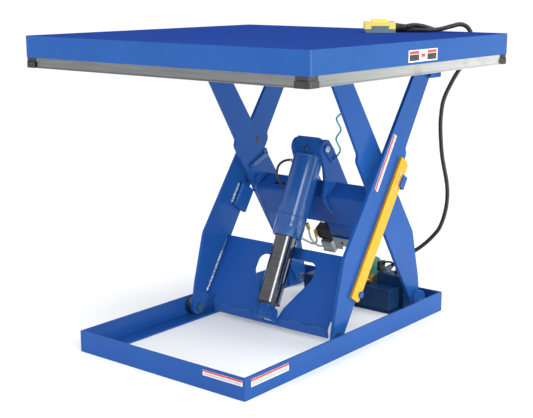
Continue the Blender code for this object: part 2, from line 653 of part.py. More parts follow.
# ---------------------------------------------------------------- cords
tube(
    "conduit_drop",
    [
        (0.552, -0.150, 0.1375),
        (0.563, -0.1635, 0.1530),
        (0.580, -0.186, 0.1760),
        (0.598, -0.214, 0.2000),
        (0.614, -0.244, 0.2220),
        (0.626, -0.274, 0.2480),
        (0.634, -0.306, 0.2820),
        (0.637, -0.338, 0.3250),
        (0.637, -0.359, 0.3850),
        (0.636, -0.368, 0.4440),
        (0.636, -0.364, 0.5070),
        (0.636, -0.339, 0.6140),
        (0.636, -0.328, 0.7140),
        (0.636, -0.329, 0.7800),
        (0.636, -0.340, 0.8380),
        (0.636, -0.374, 0.9080),
        (0.635, -0.402, 0.9520),
        (0.634, -0.433, 0.9960),
        (0.634, -0.4485, 1.0260),
        (0.634, -0.4500, 1.0435),
    ],
    CORD_R,
    0.022,
)
tube(
    "ram_hose",
    [
        (0.2095, 0.0600, 0.6060),
        (0.2045, 0.0735, 0.6089),
        (0.1950, 0.0879, 0.6067),
        (0.1826, 0.0980, 0.5997),
        (0.1705, 0.1040, 0.5865),
        (0.1626, 0.1045, 0.5683),
        (0.1630, 0.1047, 0.5483),
        (0.1677, 0.0985, 0.5289),
        (0.1791, 0.0936, 0.5127),
        (0.1957, 0.0887, 0.4957),
        (0.2230, 0.0840, 0.4810),
    ],
    HOSE_R,
    0.012,
    BASE_AXIS,
)
tube(
    "switch_wire",
    [
        (0.0412, -0.2715, 0.8293),
        (0.0737, -0.2300, 0.8027),
        (0.1611, -0.1880, 0.7517),
        (0.1904, -0.1480, 0.7116),
        (0.2763, -0.1080, 0.6573),
        (0.3000, -0.0738, 0.6235),
    ],
    WIRE_R,
    0.012,
    BASE_AXIS,
)

# ---------------------------------------------------------------- pendant, lying on the deck
PENDANT = (0.3600, -0.2150)
PENDANT_DIR = (0.6237, -0.7817)
PENDANT_LENGTH = 0.112
PENDANT_WIDTH = 0.062
pendant_turn = Matrix.Rotation(math.atan2(PENDANT_DIR[1], PENDANT_DIR[0]), 4, "Z")
pendant_frame = Matrix.Translation((PENDANT[0], PENDANT[1], DECK_TOP + GAP)) @ pendant_turn


def pendant_box(name, x, y, z, edge=0.0):
    obj = box(name, x, y, z)
    if edge:
        bevelled(obj, edge, 2)
    obj.data.transform(pendant_frame)
    return obj


HALF_PL = PENDANT_LENGTH / 2
HALF_PW = PENDANT_WIDTH / 2
back = pendant_box("pendant_back", (-HALF_PL + 0.004, HALF_PL), (-HALF_PW, HALF_PW), (0.0, 0.0125))
union(back, pendant_box("back_rise", (-0.032, 0.032), (-HALF_PW, HALF_PW), (0.010, 0.0240)))
place(back, DECK_AXIS)
front = pendant_box("pendant_front", (-HALF_PL, HALF_PL), (-HALF_PW - 0.001, HALF_PW + 0.001), (0.0128, 0.0390))
union(front, pendant_box("front_hump", (-0.028, 0.026), (-0.024, 0.024), (0.0370, 0.0480)))
boolean(front, pendant_box("front_notch", (-0.0323, 0.0323), (-0.05, 0.05), (0.0, 0.0243)))
BUTTON_X = (-0.015, 0.013)
for name, x in zip(("up", "down"), BUTTON_X):
    hole = bar(f"button_hole_{name}", (x, 0, 0.0340), (x, 0, 0.0600), 0.0095, 24)
    hole.data.transform(pendant_frame)
    boolean(front, hole)
    button = bar(f"button_{name}", (x, 0, 0.0390), (x, 0, 0.0475), 0.0085, 24)
    button.data.transform(pendant_frame)
    centre = pendant_frame @ Vector((x, 0, 0.0390))
    place(button, tuple(centre))
place(front, DECK_AXIS)
relief = bar("strain_relief", (HALF_PL + 0.0004, 0, 0.0205), (HALF_PL + 0.0170, 0, 0.0205), 0.0145, 20)
relief.data.transform(pendant_frame)
place(relief, DECK_AXIS)

DECK_ROUTE = [
    (0.0742, 0.000, 0.0208),
    (0.096, 0.000, 0.0222),
    (0.126, 0.001, 0.0268),
    (0.156, 0.007, 0.0236),
    (0.183, 0.023, 0.0160),
    (0.201, 0.050, 0.0105),
    (0.204, 0.080, 0.0090),
    (0.191, 0.112, 0.0089),
    (0.161, 0.134, 0.0089),
    (0.126, 0.139, 0.0089),
    (0.091, 0.127, 0.0089),
    (0.067, 0.099, 0.0089),
    (0.063, 0.064, 0.0089),
    (0.078, 0.032, 0.0089),
    (0.105, 0.009, 0.0089),
    (0.138, -0.006, 0.0089),
    (0.178, -0.014, 0.0092),
    (0.220, -0.010, 0.0125),
    (0.260, 0.004, 0.0215),
    (0.300, 0.027, 0.0288),
    (0.328, 0.0454, 0.0198),
    (0.344, 0.0582, 0.0021),
    (0.3517, 0.0648, -0.0162),
    (0.3546, 0.0676, -0.0330),
    (0.3548, 0.0678, -0.0462),
]


def beside_pendant(along, away, up):
    """A point measured from the pendant's middle: along its length, away across the deck, and above the deck."""
    side = Vector((-PENDANT_DIR[1], PENDANT_DIR[0], 0))
    return Vector((*PENDANT, DECK_TOP + up)) + Vector((*PENDANT_DIR, 0)) * along + side * away


tube("conduit_deck", [beside_pendant(*stop) for stop in DECK_ROUTE], CORD_R, 0.022, DECK_AXIS)
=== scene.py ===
"""Scissor lift table: finishes, small parts, cords, studio and camera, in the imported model's frame, in metres."""

import math

import bmesh
import bpy
from mathutils import Matrix, Vector


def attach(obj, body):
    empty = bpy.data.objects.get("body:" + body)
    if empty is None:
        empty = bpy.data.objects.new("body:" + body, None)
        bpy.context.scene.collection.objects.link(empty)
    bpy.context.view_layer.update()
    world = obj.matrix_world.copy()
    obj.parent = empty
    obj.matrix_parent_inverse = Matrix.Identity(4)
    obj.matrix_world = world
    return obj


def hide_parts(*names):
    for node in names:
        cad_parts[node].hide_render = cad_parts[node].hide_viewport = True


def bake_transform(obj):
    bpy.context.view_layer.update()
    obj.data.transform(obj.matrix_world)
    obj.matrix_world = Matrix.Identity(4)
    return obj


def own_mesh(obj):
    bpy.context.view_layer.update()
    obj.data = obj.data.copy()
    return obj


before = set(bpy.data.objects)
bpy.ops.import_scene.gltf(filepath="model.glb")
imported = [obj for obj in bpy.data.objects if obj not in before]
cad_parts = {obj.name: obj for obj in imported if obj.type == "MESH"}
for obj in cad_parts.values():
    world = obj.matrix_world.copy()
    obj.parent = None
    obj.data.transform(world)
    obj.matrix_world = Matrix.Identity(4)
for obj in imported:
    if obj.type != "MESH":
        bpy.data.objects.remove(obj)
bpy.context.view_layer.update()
SCENE = bpy.context.scene

# --- driving dimensions, the same as the model's ---
COS, SIN = 0.5393, 0.8421
CENTRE = (0.251, 0.508)
LOW_ROLLER = (-0.05, 0.038)
PIVOT_X = 0.552
LOW_PIVOT_Z = 0.038
TOP_PIVOT_Z = 0.978
RAM_TOP = Vector((0.24, 0, 0.66))
RAM_DIR = Vector((-0.4267, 0, -0.9044))
RAM_FOOT = Vector((-0.036, 0, 0.075))
PLATFORM = 0.6096
DECK_TOP = 1.0922
UNDER_DECK = 1.0858
SKIRT_BOTTOM = 1.0182
BASE_HALF = 0.3745
PENDANT = Vector((0.36, -0.215, DECK_TOP))
PENDANT_ALONG = Vector((0.6237, -0.7817, 0))
PENDANT_AWAY = Vector((0.7817, 0.6237, 0))
CONDUIT_R = 0.0085
SIDES = (-1, 1)  # near and far
UP = Vector((0, 0, 1))
ACROSS = Vector((0, 1, 0))


def inner(u, v, y=0.0):
    """A point on an inner leg: up it from the centre pivot, and across it."""
    return Vector((CENTRE[0] - u * COS + v * SIN, y, CENTRE[1] + u * SIN + v * COS))


def outer(u, v, y=0.0):
    """A point on an outer leg: up it from the bottom roller, and across it."""
    return Vector((LOW_ROLLER[0] + u * COS - v * SIN, y, LOW_ROLLER[1] + u * SIN + v * COS))


INNER_OUT = inner(0, -1) - inner(0, 0)


def ram_point(distance):
    return RAM_TOP + RAM_DIR * distance


def beside_pendant(along, away, up):
    """A point measured from the pendant's middle: along its length, away across the deck, and above it."""
    return PENDANT + PENDANT_ALONG * along + PENDANT_AWAY * away + UP * up


# --- procedural finishes ---
class Finish:
    """A node material under construction, with its textures in object coordinates."""

    def __init__(self, name, roughness, metallic=0.0):
        self.material = bpy.data.materials.new(name)
        self.material.use_nodes = True
        self.tree = self.material.node_tree
        self.shader = self.tree.nodes["Principled BSDF"]
        self.shader.inputs["Metallic"].default_value = metallic
        self.shader.inputs["Roughness"].default_value = roughness
        self.where = self.node("ShaderNodeTexCoord").outputs["Object"]

    def node(self, kind, **settings):
        made = self.tree.nodes.new(kind)
        for key, value in settings.items():
            setattr(made, key, value)
        return made

    def wire(self, output, socket):
        self.tree.links.new(output, socket)

    def stretched(self, scale):
        mapping = self.node("ShaderNodeMapping")
        mapping.inputs["Scale"].default_value = scale
        self.wire(self.where, mapping.inputs["Vector"])
        return mapping.outputs["Vector"]

    def noise(self, scale, detail=3.0, stretch=None, roughness=0.55):
        made = self.node("ShaderNodeTexNoise")
        made.inputs["Scale"].default_value = scale
        made.inputs["Detail"].default_value = detail
        made.inputs["Roughness"].default_value = roughness
        self.wire(self.stretched(stretch) if stretch else self.where, made.inputs["Vector"])
        return made.outputs["Fac"]

    def ranged(self, source, low, high, to_low=0.0, to_high=1.0):
        made = self.node("ShaderNodeMapRange")
        self.wire(source, made.inputs["Value"])
        for socket, value in zip(("From Min", "From Max", "To Min", "To Max"), (low, high, to_low, to_high)):
            made.inputs[socket].default_value = value
        return made.outputs["Result"]

    def times(self, a, b):
        made = self.node("ShaderNodeMath", operation="MULTIPLY")
        self.wire(a, made.inputs[0])
        if isinstance(b, float):
            made.inputs[1].default_value = b
        else:
            self.wire(b, made.inputs[1])
        return made.outputs[0]

    def mixed(self, factor, a, b):
        made = self.node("ShaderNodeMix", data_type="RGBA")
        self.wire(factor, made.inputs["Factor"])
        for socket, value in ((made.inputs[6], a), (made.inputs[7], b)):
            if isinstance(value, tuple):
                socket.default_value = (*value, 1)
            else:
                self.wire(value, socket)
        return made.outputs[2]

    def soft_normal(self, radius):
        made = self.node("ShaderNodeBevel", samples=4)
        made.inputs["Radius"].default_value = radius
        return made.outputs["Normal"]

    def edges(self, radius):
        """One on a sharp edge, zero on a flat face."""
        flat = self.node("ShaderNodeNewGeometry").outputs["Normal"]
        made = self.node("ShaderNodeVectorMath", operation="DOT_PRODUCT")
        self.wire(self.soft_normal(radius), made.inputs[0])
        self.wire(flat, made.inputs[1])
        return self.ranged(made.outputs["Value"], 0.97, 0.8)

    def bump(self, height, distance, radius=None, below=None):
        made = self.node("ShaderNodeBump")
        made.inputs["Distance"].default_value = distance
        made.inputs["Strength"].default_value = 1.0
        self.wire(height, made.inputs["Height"])
        if below is not None:
            self.wire(below, made.inputs["Normal"])
        elif radius is not None:
            self.wire(self.soft_normal(radius), made.inputs["Normal"])
        return made.outputs["Normal"]

    def finish(self, colour, roughness=None, normal=None):
        for name, value in (("Base Color", colour), ("Roughness", roughness), ("Normal", normal)):
            if value is not None:
                self.wire(value, self.shader.inputs[name])
        return self.material


def painted(name, dark, light, wear_and_highlight, gloss=(0.15, 0.22), edge_wear_and_highlight=0.3, radius=0.0016, mirror=0.16, sag=0.0001,
            above=None, speckle_and_glint=(55.0, 0.05)):
    """Sprayed enamel: slow colour drift, orange peel, and edges lightened as thin paint and painted highlight; an
    optional above colour puts painted shade on up-facing faces.
    """
    made = Finish(name, gloss[0])
    made.shader.inputs["Specular IOR Level"].default_value = mirror
    drift = made.ranged(made.noise(2.2, 4.0), 0.35, 0.65)
    body = made.mixed(drift, dark, light)
    # Up-facing faces take the above colour, and their reflection is turned down; on the deck this is painted shade,
    # a darker and less green top.
    if above:
        facing = made.node("ShaderNodeSeparateXYZ")
        made.wire(made.node("ShaderNodeNewGeometry").outputs["Normal"], facing.inputs[0])
        body = made.mixed(made.ranged(facing.outputs[2], 0.6, 0.95), body, above)
        made.wire(made.ranged(facing.outputs[2], 0.6, 0.95, mirror, 0.0),
                  made.shader.inputs["Specular IOR Level"])
    # Speckles of the worn colour: fine mottling of the paint, and painted glints on the long stiffener welds.
    specks_and_glints = made.ranged(made.noise(speckle_and_glint[0], 3.0), 0.4, 0.75, 0.0, speckle_and_glint[1])
    body = made.mixed(specks_and_glints, body, wear_and_highlight)
    # Edges take the worn colour: thin paint there, and a painted highlight along them.
    patchy = made.ranged(made.noise(38.0, 4.0), 0.42, 0.62)
    rubbed_and_highlit = made.times(made.times(made.edges(radius), patchy), edge_wear_and_highlight)
    body = made.mixed(rubbed_and_highlit, body, wear_and_highlight)
    sheen = made.ranged(made.noise(9.0, 5.0), 0.3, 0.7, gloss[0], gloss[1])
    flow = made.bump(made.noise(20.0, 2.0), sag, radius if sag > 0.00001 else None)
    peel = made.bump(made.noise(420.0, 1.0), 0.000015, below=flow)
    return made.finish(body, sheen, peel)


def moulded(name, dark, light, gloss=(0.42, 0.58), grain=900.0):
    """Moulded plastic or rubber with a fine spark-eroded grain and a little dust."""
    made = Finish(name, gloss[0])
    drift = made.ranged(made.noise(18.0, 4.0), 0.35, 0.7)
    body = made.mixed(drift, dark, light)
    dust = made.ranged(made.noise(70.0, 5.0, roughness=0.7), 0.52, 0.8, 0.0, 0.22)
    body = made.mixed(dust, body, tuple(min(1.0, c * 1.6 + 0.03) for c in light))
    sheen = made.ranged(made.noise(40.0, 3.0), 0.3, 0.7, gloss[0], gloss[1])
    return made.finish(body, sheen, made.bump(made.noise(grain, 2.0), 0.00006, 0.0008))


def metal(name, dark, light, gloss, stretch, scale=60.0, depth=0.00002):
    """Bare or plated metal with directional marks left by rolling, turning or brushing."""
    made = Finish(name, gloss[0], 1.0)
    lines = made.noise(scale, 5.0, stretch, 0.65)
    body = made.mixed(made.ranged(lines, 0.3, 0.7), dark, light)
    smudge = made.ranged(made.noise(14.0, 5.0), 0.45, 0.75, 0.0, 0.25)
    body = made.mixed(smudge, body, tuple(c * 0.55 for c in dark))
    sheen = made.ranged(lines, 0.25, 0.75, gloss[0], gloss[1])
    return made.finish(body, sheen, made.bump(lines, depth, 0.0006))


def lit_guard_finish(name):
    """Brushed aluminium with painted shade at the table's front end and painted light towards the back."""
    made = Finish(name, 0.34, 1.0)
    spread = made.node("ShaderNodeSeparateXYZ")
    made.wire(made.where, spread.inputs[0])
    brush = made.noise(18.0, 5.0, (0.3, 0.3, 40), 0.65)
    shaded_front = made.mixed(made.ranged(brush, 0.3, 0.7), (0.17, 0.18, 0.19), (0.3, 0.305, 0.31))
    lit_back = made.mixed(made.ranged(brush, 0.3, 0.7), (0.7, 0.7, 0.69), (0.86, 0.86, 0.86))
    # The blend along x from the shaded front to the lit back is painted light.
    body = made.mixed(made.ranged(spread.outputs[0], -0.6, 0.35), shaded_front, lit_back)
    smudge = made.ranged(made.noise(11.0, 6.0), 0.55, 0.8, 0.0, 0.35)
    body = made.mixed(smudge, body, (0.12, 0.125, 0.135))
    sheen = made.ranged(brush, 0.25, 0.75, 0.3, 0.4)
    return made.finish(body, sheen, made.bump(brush, 0.00002, 0.0006))


def vinyl(name, colour, light):
    """A printed vinyl label: slightly uneven ink under a satin film."""
    made = Finish(name, 0.35)
    body = made.mixed(made.ranged(made.noise(160.0, 4.0), 0.35, 0.7), colour, light)
    sheen = made.ranged(made.noise(30.0, 3.0), 0.3, 0.7, 0.3, 0.45)
    return made.finish(body, sheen, made.bump(made.noise(240.0, 2.0), 0.00002, 0.0002))


BLUE = painted("blue_enamel", (0.012, 0.072, 0.295), (0.0145, 0.08, 0.325), (0.045, 0.14, 0.38))
# The deck's top faces get a darker, less green colour as painted shade; its edges are lightened more, as wear and
# painted highlight.
DECK = painted("blue_deck_enamel", (0.0125, 0.07, 0.27), (0.0145, 0.078, 0.295), (0.06, 0.16, 0.4),
               (0.28, 0.34), edge_wear_and_highlight=0.6, radius=0.004, above=(0.019, 0.052, 0.265))
BARREL = painted("blue_ram_enamel", (0.012, 0.07, 0.26), (0.014, 0.08, 0.285), (0.06, 0.17, 0.42),
                 (0.13, 0.15), mirror=0.8, sag=0.000002)
# A darker copy of the blue enamel: painted shade on the tank, its tray and the control box, and the colour of the
# barrel's dark joint.
SHADE_AND_JOINT_BLUE = painted("tank_blue_painted_shade", (0.006, 0.028, 0.09), (0.008, 0.036, 0.115), (0.03, 0.08, 0.19),
               (0.22, 0.32))
WELD = painted("blue_weld", (0.015, 0.075, 0.27), (0.03, 0.12, 0.36), (0.12, 0.28, 0.54),
               (0.08, 0.14), mirror=0.5)
# Blue weld beads whose near-white speckles and edges are painted glints.
GLINT_WELD = painted("weld_painted_glints", (0.014, 0.08, 0.27), (0.03, 0.12, 0.33), (0.9, 0.95, 1.0),
                (0.06, 0.12), edge_wear_and_highlight=0.5, mirror=0.8, speckle_and_glint=(150.0, 1.3))
GREEN = painted("green_motor_enamel", (0.03, 0.15, 0.14), (0.055, 0.23, 0.205), (0.2, 0.38, 0.34), (0.28, 0.4))
YELLOW = painted("yellow_enamel", (0.72, 0.33, 0.022), (0.76, 0.36, 0.03), (0.74, 0.38, 0.05), (0.26, 0.36))
HUB = painted("blue_hub", (0.018, 0.075, 0.13), (0.024, 0.1, 0.17), (0.07, 0.16, 0.24), (0.3, 0.42))
BRASS = metal("brass", (0.64, 0.42, 0.13), (0.86, 0.64, 0.26), (0.22, 0.4), (1, 1, 6))
ZINC = metal("zinc_plate", (0.42, 0.43, 0.45), (0.66, 0.66, 0.64), (0.28, 0.46), (1, 5, 1), 90.0)
STEEL = metal("turned_steel", (0.11, 0.125, 0.135), (0.23, 0.245, 0.255), (0.26, 0.42), (3, 1, 3), 120.0)
CHROME = metal("hard_chrome", (0.15, 0.156, 0.168), (0.25, 0.258, 0.272), (0.05, 0.09), (1, 1, 9), 30.0,
               0.000002)
ALUMINIUM = lit_guard_finish("brushed_aluminium")
CASTING = metal("cast_aluminium", (0.36, 0.365, 0.375), (0.56, 0.565, 0.57), (0.42, 0.6), (1, 1, 1), 240.0,
                depth=0.00012)
BLACK = moulded("black_moulding", (0.01, 0.01, 0.011), (0.026, 0.026, 0.028))
CONDUIT = moulded("conduit_nylon", (0.006, 0.006, 0.007), (0.014, 0.014, 0.015), (0.16, 0.26), 500.0)
RUBBER = moulded("hose_rubber", (0.012, 0.012, 0.012), (0.03, 0.03, 0.03), (0.45, 0.62))
GREY = moulded("grey_moulding", (0.095, 0.135, 0.19), (0.14, 0.185, 0.245))
PIPE = moulded("grey_nylon_pipe", (0.33, 0.33, 0.325), (0.5, 0.5, 0.49), (0.25, 0.38), 300.0)
AMBER = moulded("yellow_moulding", (0.78, 0.6, 0.1), (0.88, 0.7, 0.16), (0.32, 0.46))
WIRE = moulded("teal_insulation", (0.02, 0.26, 0.34), (0.05, 0.38, 0.44), (0.3, 0.45))
WHITE = vinyl("label_white", (0.7, 0.7, 0.69), (0.84, 0.84, 0.83))
RED = vinyl("label_red", (0.5, 0.03, 0.05), (0.62, 0.07, 0.08))
INK = vinyl("label_black", (0.012, 0.012, 0.012), (0.045, 0.045, 0.045))
PALE = vinyl("label_grey", (0.4, 0.41, 0.42), (0.52, 0.53, 0.54))

NODE_FINISH = {
    BLUE: ("base_rail", "base_bracket", "inner_leg", "outer_leg", "leg_stiffener", "torque_tube", "ram_lever",
           "cross_plate", "foot_bar", "ram_lug", "deck_bracket", "roller_track", "prop_bolt", "centre_pin",
           "ram_eye"),
    # The reservoir and control box take the darker blue as painted shade.
    DECK: ("deck",), BARREL: ("ram_barrel",), SHADE_AND_JOINT_BLUE: ("reservoir", "control_box"), GREEN: ("pump_motor",),
    BRASS: ("pump_block",), ZINC: ("base_pin", "deck_pin", "ram_pin", "foot_pin"),
    STEEL: ("low_roller", "top_roller"), CHROME: ("ram_rod",), YELLOW: ("maintenance_prop",),
    ALUMINIUM: ("toe_guard",), BLACK: ("guard_corner", "strain_relief", "valve_block", "button_"),
    CONDUIT: ("conduit",), RUBBER: ("ram_hose",), WIRE: ("switch_wire",), AMBER: ("pendant_front",),
    GREY: ("pendant_back",),
}

# the part's own finish that each material stands in for
SLOTS = dict.fromkeys((BLUE, WELD, HUB, BARREL, SHADE_AND_JOINT_BLUE, GLINT_WELD, DECK), "blue_paint")
SLOTS.update({
    GREEN: "green_paint", YELLOW: "yellow_paint", BRASS: "brass", ZINC: "zinc_steel", CASTING: "zinc_steel",
    STEEL: "roller_steel", CHROME: "chrome_rod", ALUMINIUM: "guard_aluminium", BLACK: "black_plastic",
    CONDUIT: "conduit_black", RUBBER: "hose_rubber", GREY: "grey_plastic", PIPE: "grey_plastic",
    AMBER: "yellow_plastic", WIRE: "teal_wire",
})


def dress_nodes():
    for name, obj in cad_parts.items():
        best = ""
        for material, starts in NODE_FINISH.items():
            for start in starts:
                if name.startswith(start) and len(start) > len(best):
                    best, chosen = start, material
        if not obj.material_slots:
            obj.data.materials.append(chosen)
        for slot in obj.material_slots:
            slot.material = chosen


# --- mesh making ---
def frame_along(direction):
    """Two unit vectors square to a direction."""
    along = Vector(direction).normalized()
    side = along.cross(UP if abs(along.z) < 0.9 else ACROSS).normalized()
    return side, along.cross(side)


def skin(shape, rings):
    """Faces between successive rings of vertices, and one at each end."""
    count = len(rings[0])
    for a, b in zip(rings, rings[1:]):
        for i in range(count):
            j = (i + 1) % count
            shape.faces.new((a[i], a[j], b[j], b[i]))
    shape.faces.new(list(reversed(rings[0])))
    shape.faces.new(rings[-1])


def circle(shape, centre, a, b, radius, sides):
    """A ring of vertices in the plane of two unit vectors."""
    angles = [2 * math.pi * i / sides for i in range(sides)]
    return [shape.verts.new(centre + (a * math.cos(t) + b * math.sin(t)) * radius) for t in angles]


def lathe(shape, start, direction, profile, sides=24):
    """A turned piece: the profile is pairs of distance along and radius."""
    start = Vector(start)
    along = Vector(direction).normalized()
    a, b = frame_along(along)
    skin(shape, [circle(shape, start + along * distance, a, b, radius, sides) for distance, radius in profile])


def hexagon(shape, start, direction, height, radius):
    """A nut or bolt head with its washer face and chamfered corners."""
    cut = radius * 0.14
    lathe(shape, start, direction, [(0, radius * 0.9), (cut * 0.5, radius), (height - cut, radius),
                                    (height, radius - cut)], 6)


def bolt(shape, start, direction, radius, washer=True):
    """A washer with a hex head on it."""
    base = Vector(start)
    along = Vector(direction).normalized()
    if washer:
        thick = radius * 0.22
        lathe(shape, base, along, [(0, radius * 1.25), (thick * 0.7, radius * 1.25), (thick, radius * 1.18)],
              20)
        base = base + along * thick
    hexagon(shape, base, along, radius * 0.75, radius)
    lathe(shape, base + along * radius * 0.7, along, [(0, radius * 0.55), (radius * 0.12, radius * 0.45)], 16)


def spline(points, spacing):
    """Evenly spaced points on a Catmull-Rom curve through the route points."""
    route = [Vector(p) for p in points]
    ends = [route[0] * 2 - route[1]] + route + [route[-1] * 2 - route[-2]]
    fine = []
    for i in range(1, len(ends) - 2):
        a, b, c, d = ends[i - 1 : i + 3]
        for k in range(24):
            t = k / 24
            fine.append(0.5 * ((2 * b) + (c - a) * t + (2 * a - 5 * b + 4 * c - d) * t * t
                               + (3 * b - 3 * c + d - a) * t ** 3))
    fine.append(route[-1])
    total = sum((q - p).length for p, q in zip(fine, fine[1:]))
    count = max(4, round(total / spacing))
    even = [fine[0]]
    walked = 0.0
    for p, q in zip(fine, fine[1:]):
        step = (q - p).length
        while len(even) < count and walked + step >= total * len(even) / count - 1e-9:
            even.append(p.lerp(q, (total * len(even) / count - walked) / step))
        walked += step
    even.append(fine[-1])
    return even


def sweep(shape, line, radii, sides=12):
    """A round skin along a line, its rings carried without twist."""
    rings = []
    a = None
    for i, point in enumerate(line):
        along = (line[min(i + 1, len(line) - 1)] - line[max(i - 1, 0)]).normalized()
        a = frame_along(along)[0] if a is None else (a - along * a.dot(along)).normalized()
        b = along.cross(a)
        radius = radii[i] if isinstance(radii, list) else radii
        rings.append(circle(shape, point, a, b, radius, sides))
    skin(shape, rings)


def bead(shape, points, radius=0.0026, pitch=0.0042):
    """A weld bead: a run of overlapping ripples that tapers at both ends."""
    corners = [Vector(p) for p in points]
    line = []
    for p, q in zip(corners, corners[1:]):
        count = max(2, round((q - p).length / (pitch / 3)))
        line += [p.lerp(q, i / count) for i in range(count)]
    line.append(corners[-1])
    radii = []
    for i in range(len(line)):
        ripple = 0.84 + 0.16 * abs(math.sin(math.pi * i / 3 + 0.4)) + 0.05 * math.sin(i * 0.37)
        ends = min(1.0, 0.35 + min(i, len(line) - 1 - i) / 4)
        radii.append(radius * ripple * ends)
    sweep(shape, line, radii, 8)


def block(shape, matrix, size, bevel, segments=2):
    """A rounded block, its size given on the matrix's axes."""
    made = bmesh.ops.create_cube(shape, size=1, matrix=matrix @ Matrix.Diagonal((*size, 1)))
    edges = list({edge for vert in made["verts"] for edge in vert.link_edges})
    bmesh.ops.bevel(shape, geom=edges, offset=bevel, segments=segments, affect="EDGES", profile=0.6)


def straight_block(shape, x, y, z, bevel=0.001, segments=2):
    middle = ((x[0] + x[1]) / 2, (y[0] + y[1]) / 2, (z[0] + z[1]) / 2)
    block(shape, Matrix.Translation(middle), (x[1] - x[0], y[1] - y[0], z[1] - z[0]), bevel, segments)


def turned(origin, x_axis, y_axis):
    """A matrix whose first two axes are given, at a point."""
    x = Vector(x_axis).normalized()
    y = Vector(y_axis).normalized()
    return Matrix.Translation(origin) @ Matrix((x, y, x.cross(y))).transposed().to_4x4()


def prism(shape, outline, thickness, bevel=0.0005):
    """A flat plate from its corner points, thickened along a vector."""
    low = [shape.verts.new(Vector(p)) for p in outline]
    high = [shape.verts.new(Vector(p) + Vector(thickness)) for p in outline]
    before = set(shape.edges)
    skin(shape, [low, high])
    edges = [edge for edge in shape.edges if edge not in before]
    bmesh.ops.bevel(shape, geom=edges, offset=bevel, segments=2, affect="EDGES", profile=0.6)


def piece(name, material, body, build, flat=False):
    """Make one small part with a builder function, finish it and let it ride on a body."""
    shape = bmesh.new()
    build(shape)
    bmesh.ops.recalc_face_normals(shape, faces=shape.faces)
    mesh = bpy.data.meshes.new(name)
    shape.to_mesh(mesh)
    shape.free()
    mesh.materials.append(material)
    if not flat:
        mesh.shade_smooth()
        mesh.set_sharp_from_angle(angle=math.radians(38))
    obj = bpy.data.objects.new(name, mesh)
    SCENE.collection.objects.link(obj)
    if body:
        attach(obj, body)
    return obj


def part(material, body):
    """Makes the piece that the function below it draws, and gives it the function's name."""
    return lambda build: piece(build.__name__, material, body, build)


# --- cords ---
DECK_ROUTE = [
    (0.0742, 0.0, 0.0208), (0.096, 0.0, 0.0222), (0.126, 0.001, 0.0268), (0.156, 0.007, 0.0236),
    (0.183, 0.023, 0.016), (0.201, 0.05, 0.0105), (0.204, 0.08, 0.009), (0.191, 0.112, 0.0089),
    (0.161, 0.134, 0.0089), (0.126, 0.139, 0.0089), (0.091, 0.127, 0.0089), (0.067, 0.099, 0.0089),
    (0.063, 0.064, 0.0089), (0.078, 0.032, 0.0089), (0.105, 0.009, 0.0089), (0.138, -0.006, 0.0089),
    (0.178, -0.014, 0.0092), (0.22, -0.01, 0.0125), (0.26, 0.004, 0.0215), (0.3, 0.027, 0.0288),
    (0.328, 0.0454, 0.0198), (0.344, 0.0582, 0.0021), (0.3517, 0.0648, -0.0162), (0.3546, 0.0676, -0.033),
    (0.3548, 0.0678, -0.0462),
]
DROP_ROUTE = [
    (0.552, -0.15, 0.1375), (0.563, -0.1635, 0.153), (0.58, -0.186, 0.176), (0.598, -0.214, 0.2),
    (0.614, -0.244, 0.222), (0.626, -0.274, 0.248), (0.634, -0.306, 0.282), (0.637, -0.338, 0.325),
    (0.637, -0.359, 0.385), (0.636, -0.368, 0.444), (0.636, -0.364, 0.507), (0.636, -0.339, 0.614),
    (0.636, -0.328, 0.714), (0.636, -0.329, 0.78), (0.636, -0.34, 0.838), (0.636, -0.374, 0.908),
    (0.635, -0.402, 0.952), (0.634, -0.433, 0.996), (0.634, -0.4485, 1.026), (0.634, -0.45, 1.0435),
]
HOSE_ROUTE = [
    (0.2095, 0.06, 0.606), (0.2045, 0.0735, 0.6089), (0.195, 0.0879, 0.6067),
    (0.1826, 0.098, 0.5997), (0.1705, 0.104, 0.5865), (0.1626, 0.1045, 0.5683),
    (0.163, 0.1047, 0.5483), (0.1677, 0.0985, 0.5289), (0.1791, 0.0936, 0.5127),
    (0.1957, 0.0887, 0.4957), (0.223, 0.084, 0.481),
]
WIRE_ROUTE = [
    (0.0412, -0.2715, 0.8293), (0.0737, -0.23, 0.8027), (0.1611, -0.188, 0.7517), (0.1904, -0.148, 0.7116),
    (0.2763, -0.108, 0.6573), (0.3, -0.0738, 0.6235),
]
RIB = 0.0084  # from one conduit rib to the next
HOSE_R = 0.0048
WIRE_R = 0.0035


def ribbed(name, route, body):
    """A corrugated conduit: rounded ribs with narrow valleys between them."""
    line = spline(route, RIB / 4)
    radii = [CONDUIT_R * (0.82, 0.97, 1.0, 0.97)[i % 4] for i in range(len(line))]
    return piece(name, CONDUIT, body, lambda shape: sweep(shape, line, radii, 16)), line


deck_flex, deck_line = ribbed("deck_flex", [beside_pendant(*stop) for stop in DECK_ROUTE], "platform")
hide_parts("conduit_deck")
drop_flex, drop_line = ribbed("drop_flex", DROP_ROUTE, "base")
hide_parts("conduit_drop")
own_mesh(drop_flex)

hose_line = spline(HOSE_ROUTE, 0.0016)
hose_radii = [HOSE_R * (1.0, 0.985, 0.975, 0.985)[i % 4] for i in range(len(hose_line))]
hose = piece("ram_feed_hose", RUBBER, None, lambda shape: sweep(shape, hose_line, hose_radii, 14))
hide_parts("ram_hose")
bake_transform(hose)

wire_line = spline(WIRE_ROUTE, 0.004)
wire = piece("switch_lead", WIRE, "inner_frame", lambda shape: sweep(shape, wire_line, WIRE_R, 12))
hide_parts("switch_wire")


